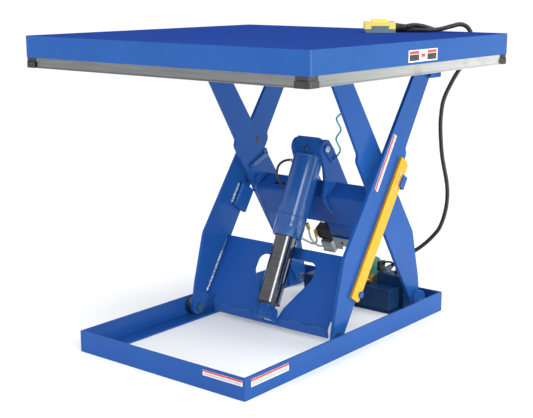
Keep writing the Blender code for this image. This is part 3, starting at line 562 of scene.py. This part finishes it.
def build_deck_relief(shape):
    """The gland at the pendant: a knurled nut, then a ringed boot that tapers onto the conduit."""
    start = beside_pendant(0.0564, 0, 0.0205)
    lathe(shape, start, PENDANT_ALONG, [(0, 0.0125), (0.001, 0.0142), (0.0105, 0.0142), (0.012, 0.0128)], 12)
    profile = [(0.0118, 0.0126)]
    for i in range(6):
        near = 0.014 + i * 0.004
        size = 0.0128 - i * 0.0005
        profile += [(near, size), (near + 0.0022, size), (near + 0.0026, size - 0.0011),
                    (near + 0.0038, size - 0.0011)]
    lathe(shape, start, PENDANT_ALONG, profile, 24)


deck_relief = piece("deck_gland", BLACK, "platform", build_deck_relief)
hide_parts("strain_relief")


def build_drop_relief(shape):
    """The gland on the control box: a hex nut, then a tapered boot that follows the conduit."""
    lathe(shape, (0.552, -0.15, 0.13), UP, [(0, 0.016), (0.0015, 0.0172), (0.005, 0.0172), (0.0065, 0.016)], 6)
    line = drop_line[: round(0.03 / (RIB / 4))]
    radii = []
    for i in range(len(line)):
        share = i / (len(line) - 1)
        radii.append(0.014 - 0.0042 * share - 0.0009 * (i % 6 < 2))
    sweep(shape, line, radii, 20)


drop_relief = piece("drop_gland", GREY, "base", build_drop_relief)


def build_clip(shape):
    """The saddle that holds both conduits' meeting point to the back skirt."""
    end = deck_line[-1]
    lathe(shape, end + UP * 0.014, -UP, [(0, 0.0092), (0.0008, 0.0104), (0.0272, 0.0104), (0.028, 0.0092)], 24)
    skirt = PLATFORM + 0.0002
    height = (end.z + 0.001, end.z + 0.0125)
    straight_block(shape, (skirt, end.x), (end.y - 0.006, end.y + 0.006), height)
    straight_block(shape, (skirt, PLATFORM + 0.003), (end.y - 0.03, end.y + 0.012), height)


clip = piece("conduit_saddle", BLACK, "platform", build_clip)

# --- camera ---
camera_data = bpy.data.cameras.new("camera")
camera_data.lens = 73.0
camera_data.sensor_width = 36.0
camera_data.clip_end = 900.0
camera = bpy.data.objects.new("camera", camera_data)
SCENE.collection.objects.link(camera)
YAW, PITCH, ROLL = math.radians(51.42), math.radians(-12.02), math.radians(0.058)
ahead = Vector((math.sin(YAW) * math.cos(PITCH), math.cos(YAW) * math.cos(PITCH), math.sin(PITCH)))
right = ahead.cross(UP).normalized()
above = right.cross(ahead)
tilted_right = right * math.cos(ROLL) + above * math.sin(ROLL)
tilted_above = above * math.cos(ROLL) - right * math.sin(ROLL)
camera.matrix_world = Matrix.Translation((-3.0336, -2.394, 1.284)) @ Matrix(
    (tilted_right, tilted_above, -ahead)).transposed().to_4x4()
SCENE.camera = camera

dress_nodes()

# --- the base ---
@part(WELD, "base")
def base_welds(shape):
    """Mitre welds at the four corners, and the fillets round the brackets' feet."""
    for s in SIDES:
        for x, way in ((-PLATFORM + 0.0064, 1), (PLATFORM - 0.0064, -1)):
            x += way * 0.0004
            y = s * (BASE_HALF - 0.0064) - s * 0.0004
            bead(shape, [(x, y, 0.008), (x, y, 0.074)], 0.003)
        for y in (s * 0.2994, s * 0.3133):
            bead(shape, [(PIVOT_X - 0.046, y, 0.0068), (PIVOT_X + 0.032, y, 0.0068)], 0.003)
        bead(shape, [(PIVOT_X + 0.0335, s * 0.3, 0.0068), (PIVOT_X + 0.0335, s * 0.3127, 0.0068)], 0.003)


@part(BLUE, "base")
def pin_keepers(shape):
    """A slotted plate that stops each base pin from turning, held by two cap screws."""
    for s in SIDES:
        face = s * 0.3129
        plate = sorted((face, face + s * 0.0024))
        straight_block(shape, (PIVOT_X - 0.026, PIVOT_X + 0.026), plate, (0.02, 0.05), 0.0008)
        for x in (PIVOT_X - 0.02, PIVOT_X + 0.02):
            lathe(shape, (x, face + s * 0.0023, 0.038), (0, s, 0), [(0, 0.0046), (0.0026, 0.0046),
                                                                    (0.003, 0.0042)], 18)


# The tray takes the darker blue as painted shade.
@part(SHADE_AND_JOINT_BLUE, "base")
def power_tray(shape):
    """The pressed tray that carries the tank, the pump and the control box."""
    straight_block(shape, (0.434, 0.601), (-0.262, 0.188), (0.0006, 0.0034), 0.0008)
    for x in (0.448, 0.592):
        for y in (-0.259, 0.1845):
            bolt(shape, (x, y * 0.985, 0.0034), UP, 0.005)


# The tank's trim takes the darker blue as painted shade.
@part(SHADE_AND_JOINT_BLUE, "base")
def tank_trim(shape):
    """The tank's lid flange, its screws, and the weld round its foot."""
    straight_block(shape, (0.4385, 0.5215), (-0.2365, 0.1815), (0.0822, 0.0862), 0.0012)
    for y in (-0.215, -0.15, -0.085, -0.02, 0.045, 0.11, 0.165):
        for x in (0.4385, 0.5215):
            away = -1 if x < 0.48 else 1
            bolt(shape, (x + away * 0.0001, y, 0.0762), (away, 0, 0), 0.0032, False)
    bead(shape, [(0.4392, -0.23, 0.006), (0.4392, 0.175, 0.006)], 0.0022)


@part(BLACK, "base")
def tank_fittings(shape):
    """A breather cap on a short neck, a drain plug and the suction elbow."""
    lathe(shape, (0.48, 0.12, 0.0918), UP, [(0, 0.015), (0.006, 0.015), (0.007, 0.012), (0.012, 0.012),
          (0.0125, 0.019), (0.0145, 0.0205), (0.023, 0.0205), (0.0262, 0.018), (0.027, 0.01)], 28)
    hexagon(shape, (0.4402, 0.06, 0.024), (-1, 0, 0), 0.007, 0.0085)
    line = spline([(0.5, 0.02, 0.091), (0.5, 0.018, 0.112), (0.505, 0.002, 0.122), (0.52, -0.02, 0.118),
                   (0.5265, -0.032, 0.096), (0.5268, -0.036, 0.06), (0.5268, -0.04, 0.029)], 0.004)
    sweep(shape, line, 0.0062, 14)
    hexagon(shape, (0.5, 0.02, 0.0918), UP, 0.01, 0.011)


@part(BRASS, "base")
def manifold(shape):
    """The brass manifold on the tank, with its cartridge caps and a banjo union."""
    straight_block(shape, (0.48, 0.519), (-0.126, -0.09), (0.0922, 0.122), 0.0016)
    for y in (-0.118, -0.0985):
        hexagon(shape, (0.4995, y, 0.1218), UP, 0.0085, 0.0075)
    hexagon(shape, (0.4802, -0.108, 0.107), (-1, 0, 0), 0.009, 0.009)
    lathe(shape, (0.4715, -0.108, 0.107), (-1, 0, 0), [(0, 0.0058), (0.006, 0.0058), (0.007, 0.0046)], 18)


@part(GREEN, "base")
def motor_trim(shape):
    """Cooling fins round the motor, and its two end bells."""
    middle = Vector((0.5622, -0.07, 0))
    for i in range(30):
        angle = 2 * math.pi * i / 30
        out = Vector((math.cos(angle), math.sin(angle), 0))
        side = UP.cross(out)
        matrix = turned(middle + out * 0.0388 + UP * 0.096, out, side)
        block(shape, matrix, (0.003, 0.0022, 0.096), 0.0004, 1)
    lathe(shape, middle + UP * 0.147, UP, [(0, 0.0385), (0.001, 0.0403), (0.016, 0.0403), (0.024, 0.038),
                                           (0.029, 0.03), (0.03, 0.012)], 36)
    lathe(shape, middle + UP * 0.0325, UP, [(0, 0.04), (0.001, 0.0404), (0.013, 0.0404), (0.0145, 0.039)], 36)


@part(BLACK, "base")
def motor_box(shape):
    """The motor's connection box and the cable that runs from it to the control box."""
    straight_block(shape, (0.544, 0.58), (-0.1245, -0.111), (0.1305, 0.17), 0.003)
    straight_block(shape, (0.5425, 0.5815), (-0.1275, -0.124), (0.129, 0.1715), 0.0012)
    line = spline([(0.562, -0.126, 0.15), (0.562, -0.13, 0.16), (0.564, -0.14, 0.168), (0.568, -0.155, 0.17),
                   (0.572, -0.172, 0.165), (0.574, -0.182, 0.154), (0.574, -0.184, 0.142),
                   (0.574, -0.184, 0.1302)], 0.003)
    sweep(shape, line, 0.004, 12)
    hexagon(shape, (0.574, -0.184, 0.13), UP, 0.008, 0.008)


# The control box's lid takes the darker blue as painted shade.
@part(SHADE_AND_JOINT_BLUE, "base")
def control_trim(shape):
    """The control box's lid and its corner screws."""
    straight_block(shape, (0.5205, 0.5242), (-0.2535, -0.1265), (0.0055, 0.1285), 0.0012)
    for y in (-0.2465, -0.1335):
        for z in (0.013, 0.121):
            lathe(shape, (0.5206, y, z), (-1, 0, 0), [(0, 0.0042), (0.0012, 0.004), (0.002, 0.0026)], 16)


# --- the inner legs, the tube and what they carry ---
@part(WELD, "inner_frame")
def inner_frame_welds(shape):
    """Fillets where the torque tube meets the legs, and where the levers sit on it."""
    low_u, high_u, low_v, high_v = -0.163, -0.019, -0.028, 0.064
    for s in SIDES:
        y = s * 0.2752
        loop = [(low_u + 0.008, low_v), (high_u - 0.008, low_v), (high_u, low_v + 0.008),
                (high_u, high_v - 0.008), (high_u - 0.008, high_v), (low_u + 0.008, high_v),
                (low_u, high_v - 0.008), (low_u, low_v + 0.008), (low_u + 0.008, low_v)]
        bead(shape, [inner(u, v, y) for u, v in loop], 0.0048, 0.0065)
        for face in (0.058, 0.07):
            bead(shape, [inner(high_u, v, s * face) for v in (-0.018, 0.062)], 0.0028)
            bead(shape, [inner(u, high_v, s * face) for u in (-0.022, -0.103)], 0.0028)
        bead(shape, [inner(-0.086, low_v - 0.002, s * 0.07), inner(-0.101, low_v - 0.0005, s * 0.07)], 0.003)


@part(BLUE, "inner_frame")
def ram_pin_keeper(shape):
    """The long plate that keys the ram pin to the near lever, with its screw."""
    pin = Vector((0.24, -0.0697, 0.66))
    foot = Vector((0.28, -0.0697, 0.6215))
    along = (foot - pin).normalized()
    across = along.cross(ACROSS)
    outline = []
    for centre, start in ((pin, 90), (foot, -90)):
        for k in range(9):
            angle = math.radians(start + 180 * k / 8)
            outline.append(centre + (along * math.cos(angle) + across * math.sin(angle)) * 0.018)
    prism(shape, outline, (0, -0.006, 0), 0.0012)
    bolt(shape, foot + Vector((0, -0.006, 0)), (0, -1, 0), 0.0075)


@part(ZINC, "inner_frame")
def ram_pin_end(shape):
    """The turned end of the ram pin, its circlip and its grease nipple."""
    start = (0.24, -0.0757, 0.66)
    lathe(shape, start, (0, -1, 0), [(0, 0.0128), (0.0012, 0.0128), (0.0016, 0.0116), (0.003, 0.0116),
          (0.0036, 0.0104), (0.0038, 0.004), (0.006, 0.0038), (0.0064, 0.0026), (0.01, 0.0026),
          (0.0108, 0.0016)], 24)


@part(WELD, "inner_frame")
def far_keeper_bar(shape):
    """The thick keeper bar across the far inner leg, with its screw and the tab behind it."""
    y = 0.2758
    outline = [inner(0.042, 0.09, y), inner(0.062, 0.094, y), inner(0.078, -0.006, y), inner(0.058, -0.012, y)]
    prism(shape, outline, (0, -0.011, 0), 0.0036)
    prism(shape, [inner(u, v, y + 0.0006) for u, v in ((0.036, 0.08), (0.07, 0.086), (0.066, 0.112),
                                                       (0.032, 0.104))], (0, -0.005, 0), 0.001)
    bolt(shape, inner(0.05, 0.1, y - 0.0044), (0, -1, 0), 0.005)


@part(BLACK, "inner_frame")
def leg_plugs(shape):
    """Black push-in plugs in the drain holes near the tops of the inner legs."""
    for s in SIDES:
        middle = inner(0.1273, 0.0864, s * 0.2764)
        rim = [middle + Vector((math.cos(k * math.pi / 12) * 0.009, 0, math.sin(k * math.pi / 12) * 0.0135))
               for k in range(24)]
        prism(shape, rim, (0, -s * 0.0012, 0), 0.0004)


@part(BLUE, "inner_frame")
def pin_ends(shape):
    """Retaining rings on the inboard ends of the base and centre pins."""
    for s in SIDES:
        for spot, face, size in (((PIVOT_X, LOW_PIVOT_Z), 0.2679, 0.0125), (CENTRE, 0.2659, 0.012)):
            lathe(shape, (spot[0], s * face, spot[1]), (0, -s, 0), [(0, size), (0.0022, size),
                  (0.003, size - 0.0012), (0.0031, 0.0052), (0.0018, 0.004)], 24)


# --- the valve group under the tube ---
def inner_block(shape, u, v, y, bevel=0.0012, segments=2):
    """A rounded block lined up with the inner legs, from three ranges."""
    middle = inner((u[0] + u[1]) / 2, (v[0] + v[1]) / 2, (y[0] + y[1]) / 2)
    along = inner(1, 0) - inner(0, 0)
    block(shape, turned(middle, along, ACROSS), (u[1] - u[0], y[1] - y[0], v[1] - v[0]), bevel, segments)


def build_coil(shape):
    """A rounded box with a run of thin ribs and a lead stub on top."""
    inner_block(shape, (-0.26, -0.208), (-0.024, 0.014), (-0.02, 0.052), 0.004)
    for i in range(8):
        y = -0.0165 + i * 0.0094
        inner_block(shape, (-0.262, -0.206), (-0.0262, 0.0162), (y - 0.002, y + 0.002), 0.0008, 1)
    inner_block(shape, (-0.208, -0.164), (-0.01, 0.004), (-0.01, 0.008), 0.003)


solenoid = piece("solenoid_cover", BLACK, "inner_frame", build_coil)
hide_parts("valve_block")


@part(CASTING, "inner_frame")
def valve_body(shape):
    """The cast valve body, its cover and the cover screws."""
    inner_block(shape, (-0.312, -0.2625), (-0.038, 0.004), (-0.012, 0.04), 0.003)
    inner_block(shape, (-0.315, -0.309), (-0.04, 0.006), (-0.014, 0.042), 0.001)
    for u in (-0.304, -0.272):
        for y in (-0.004, 0.032):
            bolt(shape, inner(u, -0.038, y), INNER_OUT, 0.0036, False)


@part(CASTING, "inner_frame")
def valve_bracket_plate(shape):
    """The grey steel bracket plate beside the valve, with a hex plug and a notched foot."""
    outline = [(-0.236, -0.021), (-0.236, -0.106), (-0.288, -0.106), (-0.296, -0.096), (-0.296, -0.082),
               (-0.278, -0.076), (-0.278, -0.056), (-0.299, -0.05), (-0.299, -0.021)]
    prism(shape, [inner(u, -0.03, y) for u, y in outline], inner(0, 0.005) - inner(0, 0), 0.001)
    hexagon(shape, inner(-0.26, -0.03, -0.09), INNER_OUT, 0.0036, 0.005)


@part(BLACK, "inner_frame")
def bracket_grommet(shape):
    """The dark grommet in the bracket's hole."""
    lathe(shape, inner(-0.262, -0.0301, -0.06), INNER_OUT, [(0, 0.0066), (0.0014, 0.0062), (0.0016, 0.004)], 20)


@part(BLUE, "inner_frame")
def tube_ledge(shape):
    """The blue strip under the tube that the valve bracket is welded to."""
    inner_block(shape, (-0.2365, -0.1634), (-0.024, -0.018), (-0.16, -0.0205), 0.0012)
    bead(shape, [inner(-0.236, -0.0262, -0.104), inner(-0.236, -0.0262, -0.024)], 0.003)


@part(BRASS, "inner_frame")
def pipe_unions(shape):
    """Brass unions on the pipes where they meet the tube and the valve."""
    for place, way in ((inner(-0.185, -0.0345, 0.075), inner(-1, -0.1) - inner(0, 0)),
                       (inner(-0.216, -0.035, 0.047), inner(-1, -0.2) - inner(0, 0)),
                       (inner(-0.174, -0.034, 0.156), inner(-1, -0.1) - inner(0, 0))):
        along = Vector(way).normalized()
        hexagon(shape, place, along, 0.009, 0.0086)
        lathe(shape, place + along * 0.0085, along, [(0, 0.0058), (0.004, 0.0058), (0.0042, 0.0074),
                                                     (0.012, 0.0074), (0.013, 0.006)], 20)
        hexagon(shape, place - along * 0.0085, along, 0.0088, 0.0074)


@part(PIPE, "inner_frame")
def formed_pipes(shape):
    """Formed nylon pipes between the unions and the valve body."""
    routes = (
        [inner(-0.203, -0.036, 0.075), inner(-0.228, -0.0395, 0.079), inner(-0.256, -0.04, 0.081),
         inner(-0.28, -0.04, 0.072), inner(-0.293, -0.038, 0.056), inner(-0.296, -0.03, 0.04)],
        [inner(-0.234, -0.0385, 0.049), inner(-0.262, -0.04, 0.056), inner(-0.28, -0.04, 0.072),
         inner(-0.283, -0.04, 0.09), inner(-0.274, -0.04, 0.112), inner(-0.26, -0.04, 0.134),
         inner(-0.236, -0.0395, 0.15), inner(-0.209, -0.038, 0.156), inner(-0.192, -0.036, 0.156)],
    )
    for route in routes:
        sweep(shape, spline(route, 0.003), 0.0048, 12)

# --- the outer legs, the plate and the ram's foot ---
@part(WELD, "outer_frame")
def outer_frame_welds(shape):
    """Stitches between plate and legs, round the stiffeners, and at the ram's lugs."""
    for s in SIDES:
        for low, high in ((0.066, 0.15), (0.212, 0.3)):
            for v in (-0.008, -0.017):
                bead(shape, [outer(low, v, s * 0.3196), outer(high, v, s * 0.3196)], 0.0036)
        for v in (-0.0425, 0.0415):
            bead(shape, [outer(0.426, v, s * 0.319), outer(0.517, v, s * 0.319)], 0.0042)
        for face in (0.0255, 0.0407):
            bead(shape, [outer(0.0205, -0.023, s * face), outer(0.033, -0.0105, s * face)], 0.003)
    for y0, y1 in ((-0.256, -0.2), (-0.15, -0.094), (0.094, 0.15), (0.2, 0.256)):
        bead(shape, [outer(0.0335, -0.0082, y0), outer(0.0335, -0.0082, y1)], 0.0028)


@part(GLINT_WELD, "outer_frame")
def stiffener_welds(shape):
    """The long beads where the legs meet the plate and the stiffeners, with painted glints on them."""
    for s in SIDES:
        bead(shape, [outer(0.07, -0.007, s * 0.3188), outer(0.25, -0.007, s * 0.3188)], 0.0048, 0.008)
        bead(shape, [outer(0.425, 0.0425, s * 0.3182), outer(0.515, 0.0425, s * 0.3182)], 0.0048, 0.008)


@part(BLACK, "outer_frame")
def stitch_gaps(shape):
    """The dark unwelded gaps between the plate's lower edge and the bent bar."""
    for low, high in ((-0.245, -0.17), (0.095, 0.165)):
        outline = [outer(0.0335, -0.008, low), outer(0.0335, -0.008, high),
                   outer(0.0365, -0.008, high - 0.004), outer(0.0365, -0.008, low + 0.004)]
        prism(shape, outline, outer(0, 0.0006) - outer(0, 0), 0.0001)


@part(HUB, "outer_frame")
def hub_ends(shape):
    """Bearing hubs on the inboard ends of the roller axles, and washers outside the centre pins."""
    for s in SIDES:
        lathe(shape, outer(0, 0, s * 0.3148), (0, -s, 0), [(0, 0.0148), (0.0012, 0.015), (0.003, 0.015),
              (0.004, 0.0138), (0.0041, 0.01), (0.0028, 0.009), (0.0028, 0.005), (0.0036, 0.0042)], 28)
        lathe(shape, (CENTRE[0], s * 0.3332, CENTRE[1]), (0, s, 0), [(0, 0.0165), (0.0008, 0.0165),
              (0.0014, 0.0156), (0.0014, 0.008), (0.0008, 0.006)], 28)


@part(STEEL, "rod")
def grease_nipple(shape):
    """The grease nipple on the ram's eye."""
    way = Vector((-0.96, 0, 0.28))
    lathe(shape, RAM_FOOT + way * 0.0205, way, [(0, 0.004), (0.002, 0.004), (0.0024, 0.0024), (0.0046, 0.0024),
                                                (0.0056, 0.0018), (0.0064, 0.0026), (0.008, 0.0018)], 16)


@part(RUBBER, "rod")
def rod_stop_ring(shape):
    """The black stop ring at the foot of the rod."""
    lathe(shape, ram_point(0.6065), RAM_DIR, [(0, 0.0426), (0.0002, 0.0434), (0.001, 0.044), (0.0056, 0.044),
                                              (0.0066, 0.0432), (0.0068, 0.025)], 44)


@part(RUBBER, "barrel")
def rod_wiper(shape):
    """The wiper seal in the mouth of the barrel."""
    lathe(shape, ram_point(0.3538), RAM_DIR, [(0, 0.052), (0.0006, 0.05), (0.001, 0.047), (0.001, 0.043)], 44)


@part(BARREL, "barrel")
def barrel_trim(shape):
    """The weld under the head block and the gland sleeve round the barrel's mouth."""
    ring = []
    side = ACROSS.cross(RAM_DIR)
    for i in range(61):
        angle = 2 * math.pi * i / 60
        ring.append(ram_point(0.0428) + (side * math.cos(angle) + ACROSS * math.sin(angle)) * 0.0545)
    bead(shape, ring, 0.0032)
    lathe(shape, ram_point(0.276), RAM_DIR, [(0, 0.056), (0.0006, 0.0567), (0.0756, 0.0567), (0.0778, 0.0552)],
          48)


@part(SHADE_AND_JOINT_BLUE, "barrel")
def barrel_seam(shape):
    """The narrow dark joint where the gland sleeve meets the tube."""
    lathe(shape, ram_point(0.2738), RAM_DIR, [(0, 0.0554), (0.0004, 0.0562), (0.002, 0.0562), (0.0024, 0.0554)],
          48)


@part(STEEL, "barrel")
def port_plug(shape):
    """The socket plug in the head block's spare port."""
    side = ACROSS.cross(RAM_DIR)
    way = side if side.x < 0 else -side
    start = ram_point(0.016) + way * 0.0418
    lathe(shape, start, way, [(0, 0.0072), (0.0012, 0.007), (0.0016, 0.004), (0.0004, 0.0038)], 18)


@part(ZINC, "barrel")
def port_union(shape):
    """The hose's swivel nut and its boss on the far side of the barrel."""
    start = Vector(HOSE_ROUTE[0]) - ACROSS * 0.006
    way = (Vector(HOSE_ROUTE[1]) - Vector(HOSE_ROUTE[0])).normalized()
    lathe(shape, start, ACROSS, [(0, 0.011), (0.003, 0.011), (0.004, 0.01)], 20)
    hexagon(shape, start + ACROSS * 0.0038, ACROSS, 0.0085, 0.0085)
    lathe(shape, Vector(HOSE_ROUTE[0]) + way * 0.005, way, [(0, 0.0066), (0.008, 0.0062), (0.0084, 0.005)], 20)


# --- the platform ---
@part(WELD, "platform")
def platform_welds(shape):
    """Welds under the deck: the brackets, the roller tracks and the skirt's corners."""
    z = UNDER_DECK - 0.0006
    for s in SIDES:
        for y in (s * 0.3338, s * 0.3475):
            bead(shape, [(PIVOT_X - 0.034, y, z), (PIVOT_X + 0.036, y, z)], 0.0032)
        for i in range(7):
            x = -0.585 + i * 0.09
            bead(shape, [(x, s * 0.3203, z), (x + 0.045, s * 0.3203, z)], 0.0028)
        y = s * (PLATFORM - 0.009)
        for x in (0.009 - PLATFORM, PLATFORM - 0.009):
            bead(shape, [(x, y, SKIRT_BOTTOM + 0.002), (x, y, UNDER_DECK - 0.002)], 0.0034)


@part(BLUE, "platform")
def deck_bars(shape):
    """Flat stiffening bars across the underside of the deck."""
    height = (UNDER_DECK - 0.0066, UNDER_DECK - 0.0004)
    for x in (-0.47, -0.28, -0.09, 0.15, 0.35):
        straight_block(shape, (x - 0.025, x + 0.025), (-0.286, 0.286), height)


@part(ZINC, "platform")
def deck_pin_ends(shape):
    """Washers and split pins on the outboard ends of the deck pins."""
    for s in SIDES:
        start = (PIVOT_X, s * 0.3471, TOP_PIVOT_Z)
        lathe(shape, start, (0, s, 0), [(0, 0.0185), (0.0018, 0.0185), (0.0024, 0.0178), (0.0024, 0.0128)], 28)
        ends = ((PIVOT_X - 0.017, s * 0.3508, TOP_PIVOT_Z + 0.004),
                (PIVOT_X + 0.019, s * 0.3508, TOP_PIVOT_Z - 0.004))
        sweep(shape, [Vector(end) for end in ends], 0.0014, 10)


@part(BLACK, "toe_guard_frame")
def corner_sleeves(shape):
    """The upper halves of the black corner mouldings, wrapped thinly round the guard's upright."""
    inside, outside, reach = 0.6039, 0.6046, 0.558
    for x in (-1, 1):
        for y in (-1, 1):
            outline = [(reach, outside), (outside - 0.0012, outside), (outside, outside - 0.0012),
                        (outside, reach), (inside, reach), (inside, inside), (reach, inside)]
            low = [Vector((x * a, y * b, 1.0036)) for a, b in outline]
            prism(shape, low if x * y > 0 else low[::-1], (0, 0, 0.0412), 0.0001)


# --- the pendant ---
@part(BLACK, "platform")
def pendant_trim(shape):
    """Button guards and case screws on the front shell."""
    for along in (-0.015, 0.013):
        start = beside_pendant(along, 0, 0.046)
        lathe(shape, start, UP, [(0, 0.0128), (0.001, 0.0132), (0.0022, 0.0126), (0.0022, 0.01),
                                 (0.0004, 0.0096)], 28)
    for along in (-0.048, 0.048):
        for away in (-0.024, 0.024):
            lathe(shape, beside_pendant(along, away, 0.0388), UP, [(0, 0.004), (0.0008, 0.0038),
                                                                   (0.001, 0.0018)], 18)
    matrix = turned(beside_pendant(0.042, 0, 0.0394), PENDANT_ALONG, PENDANT_AWAY)
    block(shape, matrix, (0.012, 0.034, 0.0012), 0.0005, 1)


def build_arrow(along, way):
    def build(shape):
        tip, side = 0.0048 * way, 0.0034
        z = 0.0476
        corners = [beside_pendant(along + tip, 0, z), beside_pendant(along - tip * 0.6, side, z),
                   beside_pendant(along - tip * 0.6, -side, z)]
        prism(shape, corners if way > 0 else corners[::-1], (0, 0, 0.0003), 0.0001)
    return build


piece("arrow_up", WHITE, "up_button", build_arrow(-0.015, -1))
piece("arrow_down", WHITE, "down_button", build_arrow(0.013, 1))


# --- generic labels, with no lettering ---
def label(name, body, corner, along, up, width, height, fields):
    """A vinyl plate with coloured fields; each field is its left, right, bottom and top shares and its ink."""
    along, up = Vector(along).normalized(), Vector(up).normalized()
    out = along.cross(up)
    corner = Vector(corner)
    thick = 0.00035

    def patch(left, right_, bottom, top, depth, lift):
        points = [(left, bottom), (right_, bottom), (right_, top), (left, top)]
        spots = [corner + along * width * a + up * height * b + out * lift for a, b in points]
        return lambda shape: prism(shape, spots, out * depth, 0.00008)

    piece(name, WHITE, body, patch(0, 1, 0, 1, thick, 0.0002))
    for i, (left, right_, bottom, top, ink) in enumerate(fields):
        piece(f"{name}_field_{i + 1}", ink, body, patch(left, right_, bottom, top, 0.00012, 0.0002 + thick))


label("front_rail_label", "base", (-PLATFORM, -0.2014, 0.0478), (0, -1, 0), (0, 0, 1), 0.165, 0.0192,
      [(0.0, 1.0, 0.64, 0.98, RED), (0.03, 0.97, 0.12, 0.54, PALE)])
label("side_rail_label", "base", (-0.578, -BASE_HALF, 0.0388), (1, 0, 0), (0, 0, 1), 0.193, 0.0262,
      [(0.0, 1.0, 0.68, 0.98, RED), (0.03, 0.97, 0.12, 0.58, PALE)])
label("skirt_label", "platform", (-0.082, -PLATFORM, 1.0262), (1, 0, 0), (0, 0, 1), 0.1795, 0.038,
      [(0.03, 0.36, 0.66, 0.92, RED), (0.03, 0.36, 0.1, 0.62, INK), (0.64, 0.97, 0.66, 0.92, RED),
       (0.64, 0.97, 0.1, 0.62, INK), (0.43, 0.57, 0.36, 0.66, RED)])
leg_up = outer(1, 0) - outer(0, 0)
leg_left = outer(0, 1) - outer(0, 0)
label("leg_label", "outer_frame", outer(0.548, 0.068, -0.333), leg_up, leg_left, 0.225, 0.024,
      [(0.0, 1.0, 0.5, 0.94, RED), (0.03, 0.97, 0.1, 0.4, PALE)])
label("prop_label", "prop", outer(0.597, -0.0208, -0.346), leg_up, leg_left, 0.074, 0.0048,
      [(0.02, 0.98, 0.15, 0.85, PALE)])

# --- studio ---
def build_floor(shape):
    half = 400.0
    corners = [(-half, -half), (half, -half), (half, half), (-half, half)]
    shape.faces.new([shape.verts.new((x, y, -0.0004)) for x, y in corners])


paper = Finish("studio_paper", 0.85)
tone = paper.mixed(paper.ranged(paper.noise(0.8, 3.0), 0.3, 0.7), (0.955, 0.955, 0.955), (0.97, 0.97, 0.97))
piece("studio_floor", paper.finish(tone), None, build_floor, True)

world = bpy.data.worlds.new("studio")
world.use_nodes = True
sky = world.node_tree.nodes["Background"]
sky.inputs["Color"].default_value = (1.0, 0.995, 0.985, 1)
sky.inputs["Strength"].default_value = 0.52
SCENE.world = world
SCENE.view_settings.view_transform = "Standard"


def softbox(name, place, aim, width, height, power):
    data = bpy.data.lights.new(name, "AREA")
    data.shape = "RECTANGLE"
    data.size = width
    data.size_y = height
    data.energy = power
    obj = bpy.data.objects.new(name, data)
    SCENE.collection.objects.link(obj)
    facing = (Vector(aim) - Vector(place)).normalized()
    obj.matrix_world = Matrix.Translation(place) @ facing.to_track_quat("-Z", "Y").to_matrix().to_4x4()
    obj.visible_camera = False
    return obj


key = softbox("key", (0.74, -3.14, 0.75), (0.15, 0, 0.5), 0.5, 2.6, 70)
key.data.use_shadow = False
key.data.color = (0.86, 1.0, 0.84)
fill = softbox("fill", (-4.0, 1.1, 2.2), (0, 0, 0.5), 1.6, 2.6, 100)
fill.visible_glossy = False
softbox("front", (-2.1, -2.5, 2.0), (0, 0, 0.5), 1.2, 1.4, 22)

sun_data = bpy.data.lights.new("sun", "SUN")
sun_data.energy = 2.0
sun_data.angle = math.radians(75)
sun = bpy.data.objects.new("sun", sun_data)
SCENE.collection.objects.link(sun)
sun.matrix_world = Vector((-0.15, 0.35, -1.0)).to_track_quat("-Z", "Y").to_matrix().to_4x4()
